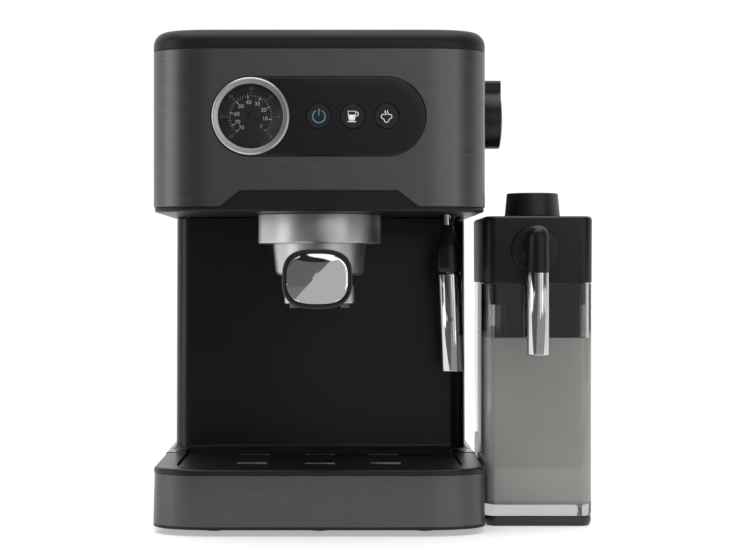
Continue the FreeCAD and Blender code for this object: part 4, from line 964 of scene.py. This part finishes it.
CROWN, PLATE_WIDE, PLATE_TALL = 1.0, 17.75, 14.55
share = np.linspace(0.97, 0.01, 14)
wide = np.concatenate([[1, 1, 0.99], share]) * PLATE_WIDE
depths = np.concatenate([[cap_high[1], grip_end + 1.7, grip_end + 1.5],
                         grip_end + 0.3 + CROWN * share ** 2])
rings = np.array([turned_to("Y", oval(w, w * PLATE_TALL / PLATE_WIDE, handle_up, HANDLE_POWER), y)
                  for y, w in zip(depths, wide)])
plate = skin("handle_end_plate", rings)
settle(plate, "portafilter", "chrome", MIRROR, "handle_cap")

# %% [markdown]
# ## Steam knob and wand
# The knob is a black disc with a short lug for the finger. Its face is crowned, and a wide live
# Bevel blends the lug into the disc, which a union alone would leave hard. The wand hangs from a
# ball and leans a little, so its pipe, grip and sleeve use the lathe whose axis is any direction.

# %% Steam knob
low, high = span("steam_knob")
knob_radius = 19.0
face = np.linspace(knob_radius - 0.9, 0.05, 10)
crown = np.stack([face, high[0] - 1.9 * (face / knob_radius) ** 2], 1)
knob_profile = np.concatenate([
    rounded([(0.05, low[0] + 3), (3.1, low[0] + 3), (3.1, low[0]), (knob_radius, low[0], 1.0),
             (knob_radius, high[0] - 1.8, 0.7), tuple(crown[0])], 6), crown[1:]])
knob = lathed("steam_knob_disc", (0, shaft_depth, shaft_up), knob_profile, "X", 128)
LUG_HALF, lug_end = 6, knob_radius + 6.7
lug_line = rounded([(-LUG_HALF, 10), (LUG_HALF, 10), (LUG_HALF, lug_end, 3.2),
                    (-LUG_HALF, lug_end, 3.2), (-LUG_HALF, 10)], 6)[:-1]
lug = slab("lug", lug_line + (shaft_depth, shaft_up), (low[0] + 0.1, high[0] - 1.1), "X")
carve(knob, [lug], "UNION")
settle(soften(knob, 2.2, 5, 42), "knob", "knob_black", GRIP_BLACK, "steam_knob")

# %% Steam wand
wand_up = 208.0
LEAN = math.radians(2.1)
down = (math.sin(LEAN), 0, -math.cos(LEAN))
pivot = (wand_across, wand_depth, wand_up)
ball = 5.0
t = np.radians(np.linspace(2, 153, 20))
ball_line = np.stack([ball * np.sin(t), -ball * np.cos(t)], 1)
pipe_profile = np.concatenate([ball_line, [(2.2, 5.2), (2.2, 79.6), (1.8, 80), (1.2, 80),
                                           (1.2, 70)]])
settle(lathed_along("steam_pipe_tube", pivot, down, pipe_profile, 40), "wand", "chrome", CHROME,
       "steam_pipe")

grip_profile = rounded([(2.25, 44), (2.25, 12.6), (3.4, 12.6, 0.8), (7.2, 27, 8), (8.4, 41, 3),
                        (7.7, 44, 0.8), (2.25, 44)], 8)[:-1]
settle(lathed_along("wand_grip_moulding", pivot, down, grip_profile, 72, True), "wand",
       "grip_black", GRIP_BLACK, "wand_grip")

sleeve_radius = 7.75
sleeve_profile = rounded([(2.3, 44.3), (sleeve_radius, 44.3, 1.5), (sleeve_radius, 109.4, 0.6),
                          (6.3, 109.4, 0.3), (6.3, 58, 1), (2.3, 54), (2.3, 44.3)], 6)[:-1]
sleeve = lathed_along("froth_sleeve_tube", pivot, down, sleeve_profile, 96, True)
HOLE_REACH = 75
hole_up = wand_up - HOLE_REACH * math.cos(LEAN)
hole_across = wand_across + HOLE_REACH * math.sin(LEAN)
carve(sleeve, [lathed("cutter", (hole_across, wand_depth - 9, hole_up), [(0.9, -2), (0.9, 4)],
                      "Y", 24)])
settle(soften(sleeve, 0.15), "sleeve", "chrome", CHROME, "froth_sleeve")

# %% [markdown]
# ## Column, base and drip tray
# The column rises out of the deck with a small sweep, like one moulding. The sweep could be a
# fillet, but as part of the profile it is exact: deck, sweep, wall up, over the rim and down
# inside. The deck is level with the drip tray's rim, so that the two read as one black frame.
# The rear panel closes the column's open back, with a row of upright vents.

# %% Column and deck
low, high = column_low, column_high
column_half, column_front, column_back = 100.3, 131.5, 222.0
column_wall, deck_up = 2.7, 41.8
deck_outline = cornered(low[0], high[0], low[1], high[1], (1, 1), (9, 9), 10)
deck = carried("column_housing_moulding", deck_outline,
               rounded([(4, low[2]), (0, low[2], 0.5), (0, deck_up, 1.4), (4, deck_up)], 5))
column_outline = cornered(-column_half, column_half, column_front, column_back,
                          (12, 12), (2, 2), 12)
sweep = rounded([(-4.4, deck_up - 1), (-4.4, deck_up, 0.02), (0, deck_up, 4.3), (0.3, deck_up + 60),
                 (0.6, high[2], 0.6), (3.0, high[2]), (column_wall, deck_up - 1)], 9)
sweep[:2, 1] = deck_up - 1.2, deck_up - 0.05
shell = carried("column", column_outline, sweep, loop=True)
carve(deck, [shell], "UNION")
tongue = span("drip_tray")[1][1]
carve(deck, [
    block("cutter", -column_half + column_wall, column_half - column_wall, column_front + 2.4,
          column_back - 2.8, deck_up - 0.8, high[2] + 2, 8),
    block("cutter", -91.9, 91.9, low[1] - 5, tongue + 0.4, low[2] - 2, deck_up + 2),
    block("cutter", -100.2, 100.2, column_front + 4, high[1] - 5, low[2] - 2, deck_up - 2.4, 4),
    block("cutter", -97.7, 97.7, column_back - 2.75, column_back + 3, deck_up + 0.02, high[2] + 2),
    block("cutter", -80, 80, 142, 208, low[2] - 2, deck_up + 2, 4),
    lathed("cutter", (0, 257, 0), [(12.5, 30), (12.5, 50)])])
settle(soften(deck, 0.3, 2), "machine", "black_gloss", GLOSS_BLACK, "column_housing")

low, high = span("rear_panel")
vents = [block("vent", -61.5 + 10 * n, -58.5 + 10 * n, low[1] - 2, high[1] + 2, 225, 265)
         for n in range(13)]
lower = block("rear_panel_plate", -97.5, 97.5, low[1], high[1], low[2], 210)
upper = block("upper", low[0], high[0], low[1], high[1], 205.6, high[2])
carve(lower, [upper], "UNION")
settle(soften(carve(lower, vents), 0.4), "machine", "black_satin", TRAY_BLACK, "rear_panel")

# %% [markdown]
# The base is a bent metal band with a slight draft: each side leans in by seven tenths of a
# millimetre from the table to the top. The front part of the band belongs to the drawer and moves
# with the drip tray, and the rest stays with the machine.

# %% Base bands
low, high = span("tray_band")
band_low, band_high = low[2], high[2]
DRAFT = 0.7
tray_wrap = bent_sheet("tray_band_sheet", front_wrap(low[0], high[0], low[1], high[1]),
                       [(band_low, 0), (band_high, DRAFT)])
settle(soften(tray_wrap, 0.25, 2), "drawer", "dark_steel", SHADED_BASE_STEEL, "tray_band")

low, high = span("base_band")


def back_wrap(inset):
    """The bent line round the back: side, corner, back, corner, side."""
    ring = cornered(low[0], high[0], low[1], high[1], (0.1, 0.1), (9, 9), 12)(inset)
    near_right = np.array([[high[0] - inset, low[1] + 0.3]])
    near_left = np.array([[low[0] + inset, low[1] + 0.3]])
    return np.concatenate([near_right, ring[13:39], near_left])[::-1]


base_wrap = bent_sheet("base_band_sheet", back_wrap, [(band_low, 0), (high[2], DRAFT)])
settle(soften(base_wrap, 0.25, 2), "machine", "dark_steel", SHADED_BASE_STEEL, "base_band")

# %% [markdown]
# The drip tray is a black rim with the soft plan of the base, a basin that hangs in it, and a
# tongue that reaches back into a notch in the column's deck. Three simple closed shapes are
# united, and then a ledge for the grille and the basin's hollow are cut out of them.

# %% Drip tray
low, high = span("drip_tray")
RIM_END, LEDGE_UP = 114.7, 38.0
rim = soft_fronted(low[0], high[0], low[1], RIM_END, 0.3)
tray = carried("drip_tray_moulding", rim,
               rounded([(6, 37.95), (0.1, 37.95), (0.1, high[2], 1.9), (6, high[2])], 6))
tongue_block = block("tongue", -91.5, 91.5, 100, high[1], low[2], high[2], 3)
basin_shell = carried("shell", cornered(-91.5, 91.5, 5.7, high[1], (30, 30), (5, 5), 14),
                      rounded([(10, low[2]), (0, low[2], 4), (0, 39), (10, 39)], 6))
carve(tray, [tongue_block, basin_shell], "UNION")
ledge = carried("cutter", cornered(-91.2, 91.2, 6.0, high[1] - 0.3, (30, 30), (4, 4), 14),
                [(0, LEDGE_UP), (0, 46)])
basin = carried("cutter", cornered(-89, 89, 8.2, high[1] - 2.4, (28, 28), (4, 4), 14),
                rounded([(10, low[2] + 1.8), (0, low[2] + 1.8, 4), (0, 46), (10, 46)], 6))
carve(tray, [ledge, basin])
settle(soften(tray, 0.3, 3), "drawer", "black_satin", TRAY_BLACK, "drip_tray")

# %% [markdown]
# The grille is a black plate with three columns of four slots from front to back. The first and
# the last slot of a column have lips of bright steel, which catch the light as thin lines.
# The lips are small blocks, because a finish on the slot's wall would hardly show.

# %% Grille
low, high = span("drip_grille")
plate_high = 39.7
plate_outline = cornered(low[0], high[0], low[1], high[1], (29.7, 29.7), (3.7, 3.7), 14)
grille = carried("drip_grille_plate", plate_outline,
                 rounded([(8, low[2]), (0, low[2], 0.3), (0, plate_high, 0.6), (8, plate_high)], 4))
SLOT_HALF, SLOT_WIDE, SLOT_STEP, FIRST_SLOT, LIP = 9.7, 4.4, 18, 58, 0.9
slots, lips = [], []
for window in (-44, 0, 43):
    left, right = window - SLOT_HALF, window + SLOT_HALF
    for n in range(4):
        near = FIRST_SLOT + SLOT_STEP * n
        far = near + SLOT_WIDE
        slots.append(block("cutter", left, right, near, far, low[2] - 2, plate_high + 2, 1.5))
        edges = {0: [near - 0.75, far - 0.15], 3: [far - 0.15]}.get(n, [])
        for depth in edges[:1] if window == 0 else edges:
            lips.append(block("lip", left, right, depth, depth + LIP, plate_high - 0.5,
                              plate_high + 0.42, 0.3))
settle(soften(carve(grille, slots), 0.2), "grille", "black_satin", TRAY_BLACK, "drip_grille")
settle(soften(joined("grille_slot_lips", lips), 0.12), "grille", "chrome", CHROME)

# %% [markdown]
# Five rubber feet carry the machine: three in front and two behind. They taper a little towards
# the table, so one turned profile is repeated at five places and joined into one piece.

# %% Feet
feet_profile = rounded([(0.1, 4.2), (0.1, 0), (6.6, 0, 0.6), (7.4, 4.2, 0.3)], 4)
feet_places = [(-67, 33), (0, 33), (67, 33), (-67, 262), (67, 262)]
pads = joined("rubber_feet", [lathed("foot", (x, y, 0), feet_profile, "Z", 40)
                              for x, y in feet_places])
settle(smooth(pads), "machine", "rubber_black", RUBBER_BLACK, "feet")
print("base done,", len(finished), "pieces so far")

# %% [markdown]
# ## Water tank
# The tank is a deep box of thin smoked plastic with generous corners. Its wall is one profile
# that runs out under the floor, up outside, over the rim and down inside to the floor again, so
# it is a true hollow with an inner face. Two ears at the back hold the pin of its cover, and the
# cover's knuckle turns between them.

# %% Water tank
tank_low, tank_high = span("water_tank")[0][2], 300.0
tank_half, tank_front, tank_back, wall = 88.0, 229.0, 285.0, 2.2
tank_outline = cornered(-tank_half, tank_half, tank_front, tank_back, (14, 14), (14, 14), 12)
tank = carried("water_tank_shell", tank_outline,
               rounded([(12, tank_low), (0, tank_low, 3), (0, tank_high, 0.8),
                        (wall, tank_high, 0.8), (wall, tank_low + 2.4, 2.5),
                        (12, tank_low + 2.4)], 6))
hinge_depth, hinge_up, EYE_RADIUS = 288.9, 301.0, 2.1
eye_near, eye_far = hinge_depth - EYE_RADIUS, hinge_depth + EYE_RADIUS
eye_low, eye_high = hinge_up - EYE_RADIUS, hinge_up + EYE_RADIUS
ear_line = rounded([(tank_back - 0.5, 292), (eye_far, 297.5, 1), (eye_far, eye_high, 2),
                    (eye_near, eye_high, 2), (eye_near, tank_high - 1),
                    (tank_back - 0.5, tank_high - 1), (tank_back - 0.5, 292)], 6)[:-1]
ears = [slab("ear", ear_line, pair, "X") for pair in ((-27.3, -24.3), (24.3, 27.3))]
carve(tank, ears, "UNION")
carve(tank, [lathed("cutter", (0, 257, 0), [(9, 40), (9, 52)])])
settle(soften(tank, 0.15, 2), "tank", "tank_smoke", TANK_SMOKE, "water_tank")

# %% Tank cover
low, high = span("tank_lid")
cover_outline = cornered(low[0], high[0], tank_front - 1, tank_back + 1, (15, 15), (15, 15), 12)
cover = carried("tank_cover_moulding", cover_outline,
                rounded([(12, 310.4), (4, 310.4, 1), (4, low[2] + 1.4), (4, tank_high + 0.3),
                         (0, tank_high + 0.3, 0.5), (0, high[2], 4), (12, high[2])], 6))
knuckle_line = rounded([(tank_back, tank_high + 0.6), (tank_back, eye_high), (eye_far, eye_high, 2),
                        (eye_far, eye_low, 2), (eye_near, eye_low, 1), (eye_near, tank_high + 0.6),
                        (tank_back, tank_high + 0.6)], 6)[:-1]
knuckle = slab("knuckle", knuckle_line, (-24, 24), "X")
pin = lathed("pin", (0, hinge_depth, hinge_up),
             [(0.05, -27.1), (1.1, -27.1), (1.1, 27.1), (0.05, 27.1)], "X", 32)
carve(cover, [knuckle, pin], "UNION")
settle(soften(cover, 0.2), "tank_cover", "black_satin", LID_BLACK, "tank_lid")

# %% [markdown]
# ## Milk jug
# The jug stands beside the machine: a clear smoked container with a thick floor on a dark sole, a
# black cover with a froth dial on top, and a swivelling milk spout at the front. The milk inside
# is a piece of its own. It reaches a hair into the wall, because a film of air between the two
# would mirror like glass, and its edge climbs the wall a little, as a real liquid does.

# %% Jug container
low, high = span("jug_container")
jug_left, jug_right, jug_front, jug_back = low[0], high[0], low[1], high[1]
jug_rim = high[2]
floor_up, jug_wall, BASE_UP = 13.9, 3.0, 6.4
jug_outline = cornered(jug_left, jug_right, jug_front, jug_back, (8, 8), (8, 8), 12)
jug = carried("jug_container_shell", jug_outline,
              rounded([(20, BASE_UP + 0.1), (0.6, BASE_UP + 0.1, 0.6), (0, BASE_UP + 3, 1),
                       (0, jug_rim, 0.6), (jug_wall, jug_rim, 0.6), (jug_wall, floor_up, 4),
                       (20, floor_up)], 7))
settle(jug, "jug", "jug_smoke", JUG_SMOKE, "jug_container")
sole = carried("jug_base_moulding", jug_outline,
               rounded([(20, 0.6), (9, 0.6, 1), (7, 0, 0.8), (1.6, 0, 1.6), (0.3, 3.2, 1.5),
                        (0.3, BASE_UP, 1), (20, BASE_UP)], 7))
settle(sole, "jug", "jug_black", SOLE_GREY)

# %% Milk
MILK_UP, MENISCUS, reach = 121.7, 0.35, 0.35
inset = jug_wall - reach
dial_low, dial_high = span("froth_knob")
tube_across, tube_depth = (dial_low[0] + dial_high[0]) / 2, (dial_low[1] + dial_high[1]) / 2
milk = carried("milk_fill", cornered(jug_left + inset, jug_right - inset, jug_front + inset,
                                     jug_back - inset, (5, 5), (5, 5), 10),
               rounded([(16, floor_up - reach), (0, floor_up - reach, 3.8), (0, MILK_UP, 0.1),
                        (1.5, MILK_UP - MENISCUS), (16, MILK_UP - MENISCUS)], 6))
carve(milk, [lathed("cutter", (tube_across, tube_depth, 0),
                    [(3.5, floor_up - 4), (3.5, MILK_UP + 4)])])
settle(milk, "jug", "jug_smoke", MILK)

# %% [markdown]
# The jug's cover is a black box with slightly leaning sides and a skirt that drops into the jug.
# The skirt is only a step in the same profile. A round recess in its front takes the arm of the
# milk spout.

# %% Jug cover
low, high = span("jug_lid")
jug_lid_low, jug_lid_high = 157.3, high[2]
skirt = 4.2
lid_outline = cornered(low[0], high[0], low[1], high[1], (8, 8), (8, 8), 12)
jug_lid = carried("jug_lid_moulding", lid_outline,
                  rounded([(20, low[2]), (skirt, low[2], 1), (skirt, jug_lid_low),
                           (0.2, jug_lid_low, 0.5), (0, high[2], 2.6), (20, high[2])], 7))
spout_across, spout_depth, spout_up = 139.0, 28.0, 179.0
duct_near, duct_far, DUCT_RADIUS = low[1] - 2, low[1] + 9, 7.6
duct = lathed("cutter", (spout_across, 0, spout_up),
              [(0.1, duct_near), (DUCT_RADIUS, duct_near), (DUCT_RADIUS, duct_far),
               (0.1, duct_far)], "Y", 64)
carve(jug_lid, [duct])
settle(soften(jug_lid, 0.3), "jug_cover", "jug_black", JUG_BLACK, "jug_lid")

# %% [markdown]
# The froth dial is a tapered cap with a shallow recess in its top, turned as one profile. A small
# block is united with it as a raised pointer. Its sides lean in by a good millimetre, which lets
# the light run along them.

# %% Froth dial
low, high = dial_low, dial_high
low[2] = jug_lid_high + 0.4
dial_radius_low = (high[0] - low[0]) / 2
dial_profile = rounded([(0.05, low[2]), (dial_radius_low - 0.3, low[2], 0.4),
                        (dial_radius_low, low[2] + 1.0, 0.4), (dial_radius_low - 1.4, high[2], 1.0),
                        (dial_radius_low - 3.0, high[2]),
                        (dial_radius_low - 3.8, high[2] - 0.7, 0.5), (0.05, high[2] - 0.7)], 7)
froth = lathed("froth_dial_cap", (tube_across, tube_depth, 0), dial_profile, "Z", 128)
pointer = block("pointer", tube_across - 0.8, tube_across + 0.8, low[1] + 4.6, low[1] + 10.6,
                high[2] - 0.75, high[2] - 0.35, 0.2)
carve(froth, [pointer], "UNION")
settle(soften(froth, 0.25), "froth_dial", "knob_satin", KNOB_BLACK, "froth_knob")

# %% [markdown]
# The milk spout is a black elbow with a collar, and a polished tube below. The elbow is an
# upright domed post united with a stepped arm, and the live Bevel rounds the seam between them.

# %% Milk spout
elbow_low = span("spout_elbow")[0][2]
POST_RADIUS, DOME_UP = 7.25, 186.6
t = np.radians(np.linspace(0, 88, 14))
dome = np.stack([POST_RADIUS * np.cos(t), DOME_UP + POST_RADIUS * np.sin(t)], 1)
upright = np.concatenate([[(0.1, elbow_low), (POST_RADIUS, elbow_low), (POST_RADIUS, DOME_UP)],
                          dome])
elbow = lathed("spout_elbow_moulding", (spout_across, spout_depth, 0), upright, "Z", 72)
arm = lathed("arm", (spout_across, 0, spout_up), rounded([
    (0.1, spout_depth), (8, spout_depth), (8, 44, 1.2), (15.1, 44, 0.8), (15.1, 47.6, 0.6),
    (7.2, 47.6), (7.2, 56), (0.1, 56)], 5), "Y", 96)
carve(elbow, [arm], "UNION")
carve(elbow, [lathed("cutter", (spout_across, spout_depth, 0),
                     [(4.2, elbow_low - 2), (4.2, elbow_low + 8)], "Z", 40)])
settle(soften(elbow, 0.8, 4, 40), "milk_arm", "jug_black", JUG_BLACK, "spout_elbow")

low, high = span("milk_spout")
spout_radius = (high[0] - low[0]) / 2
tube_bore = spout_radius - 1.4
tube_profile = rounded([(tube_bore, low[2]), (spout_radius, low[2], 0.6),
                        (spout_radius, high[2] - 4), (spout_radius, high[2]),
                        (tube_bore, high[2]), (tube_bore, low[2])], 5)[:-1]
milk_tube = lathed("milk_spout_tube", (spout_across, spout_depth, 0), tube_profile, "Z", 72,
                   loop=True)
settle(smooth(milk_tube), "milk_arm", "chrome", CHROME, "milk_spout")
print("all pieces done:", len(finished))

# %% [markdown]
# ## Studio
# The machine stands on a plain white table in a bright room. Black plastic and dark steel show
# mostly what they mirror, so the room is bright behind and above the machine and dim in front of
# it: faces that look forward stay dark, and the round corners catch the bright half.

# %% Floor
ground = np.array([[x, y, 0.0] for x, y in ((-6, -3), (6, -3), (6, 9), (-6, 9))])
floor_mesh = bpy.data.meshes.new("floor")
floor_mesh.from_pydata(ground.tolist(), [], [(0, 1, 2, 3)])
floor = linked("floor", floor_mesh)


def glowing(name, colour, roughness, gloss, glow):
    """A plain finish that also gives a white light of its own."""
    return shader(name, colour, roughness, Specular_IOR_Level=gloss,
                  Emission_Color=(1, 1, 1, 1), Emission_Strength=glow)[0]


floor_mesh.materials.append(glowing("white_table", (0.9, 0.9, 0.9), 0.6, 0.2, 0.4))

# %% Room
ROOM_BEHIND, ROOM_FRONT, ROOM_ABOVE = 1.05, 0.13, 0.55
world = bpy.data.worlds.new("bright_room")
bpy.context.scene.world = world
world.use_nodes = True
tree = world.node_tree
tree.nodes.clear()


def fading(direction, start, end, low, high):
    """A smooth step between two brightnesses along one direction of the room."""
    return node(tree, "MapRange", {"Value": direction, "From Min": start, "From Max": end,
                                   "To Min": low, "To Max": high},
                interpolation_type="SMOOTHSTEP").outputs[0]


towards = node(tree, "SeparateXYZ", {0: node(tree, "TexCoord").outputs["Generated"]}).outputs
behind = fading(towards["Y"], -0.3, 0.3, ROOM_FRONT, ROOM_BEHIND)
above = fading(towards["Z"], 0.35, 0.95, ROOM_FRONT, ROOM_ABOVE)
brighter = node(tree, "Math", {0: behind, 1: above}, operation="MAXIMUM").outputs[0]
seen = node(tree, "LightPath").outputs["Is Camera Ray"]
shown = node(tree, "Math", {0: seen, 1: brighter}, operation="MAXIMUM").outputs[0]
backdrop = node(tree, "Background", {"Color": (1, 1, 1, 1), "Strength": shown}).outputs[0]
node(tree, "OutputWorld", {"Surface": backdrop})


# %% Soft boxes
def soft_box(name, place, aim, wide, tall, power):
    """A rectangular light at one point that faces another."""
    light = bpy.data.lights.new(name, "AREA")
    light.shape, light.size, light.size_y, light.energy = "RECTANGLE", wide, tall, power
    lamp = linked(name, light)
    lamp.location = place
    lamp.rotation_euler = (Vector(aim) - Vector(place)).to_track_quat("-Z", "Y").to_euler()
    return lamp


middle = spot(0, 100, 170)
soft_box("box_left", spot(-1430, -480, 380), middle, 0.75, 1.3, 5.5)
soft_box("box_right", spot(1050, -1150, 260), middle, 0.5, 1.2, 2.6)
soft_box("box_strip", spot(490, -1150, 150), spot(100, 0, 150), 0.07, 0.9, 0.5)
soft_box("box_top", spot(0, -100, 1300), middle, 1.3, 0.9, 8.0)

# %% [markdown]
# Cards shape what the mirrors show. They are flat glowing shapes that the camera does not see: a
# high bright one and a dark one beside it, a leaning grey one, and two mats on the floor in
# front of the machine. The crowned end of the handle mirrors them all.

# %% Cards
def card(name, corners, glow):
    """A flat glowing shape from its corners, seen in mirrors but not by the camera."""
    mesh = bpy.data.meshes.new(name)
    points = [spot(*corner).tolist() for corner in corners]
    mesh.from_pydata(points, [], [tuple(range(len(points)))])
    mesh.materials.append(glowing(name, (0, 0, 0), 0.5, 0, glow))
    shape = linked(name, mesh)
    shape.visible_camera = False
    shape.visible_shadow = False
    shape.visible_diffuse = False
    return shape


FAR, MAT_END = -2600, -3050
card("card_high", [(165, FAR, 619), (1300, FAR, 619), (1300, FAR, 1500), (-1035, FAR, 1500)], 1.15)
card("card_dark", [(-1500, FAR, 619), (165, FAR, 619), (-136, FAR, 840), (-1500, FAR, 840)], 0.02)
card("card_leaning", [(-190, FAR, 0), (1300, FAR, 0), (1300, FAR, 618), (135, FAR, 618)], 0.46)
card("mat_left", [(-1800, -330, 2), (-100, -330, 2), (-205, MAT_END, 2), (-1800, MAT_END, 2)], 0.17)
card("mat_right", [(-100, -330, 2), (1800, -330, 2), (1800, MAT_END, 2), (-205, MAT_END, 2)], 0.46)

# %% Camera
EYE = (10.6, -1200.0, 166.3)
camera = bpy.data.cameras.new("camera")
camera.sensor_width, camera.lens = 36.0, 93.4
camera.shift_x, camera.shift_y = 0.049, -0.0148
camera.clip_start, camera.clip_end = 0.05, 50.0
viewer = linked("camera", camera)
viewer.location = spot(*EYE)
viewer.rotation_euler = (math.radians(90), 0, 0)
bpy.context.scene.camera = viewer
bpy.context.scene.view_settings.view_transform = "Standard"
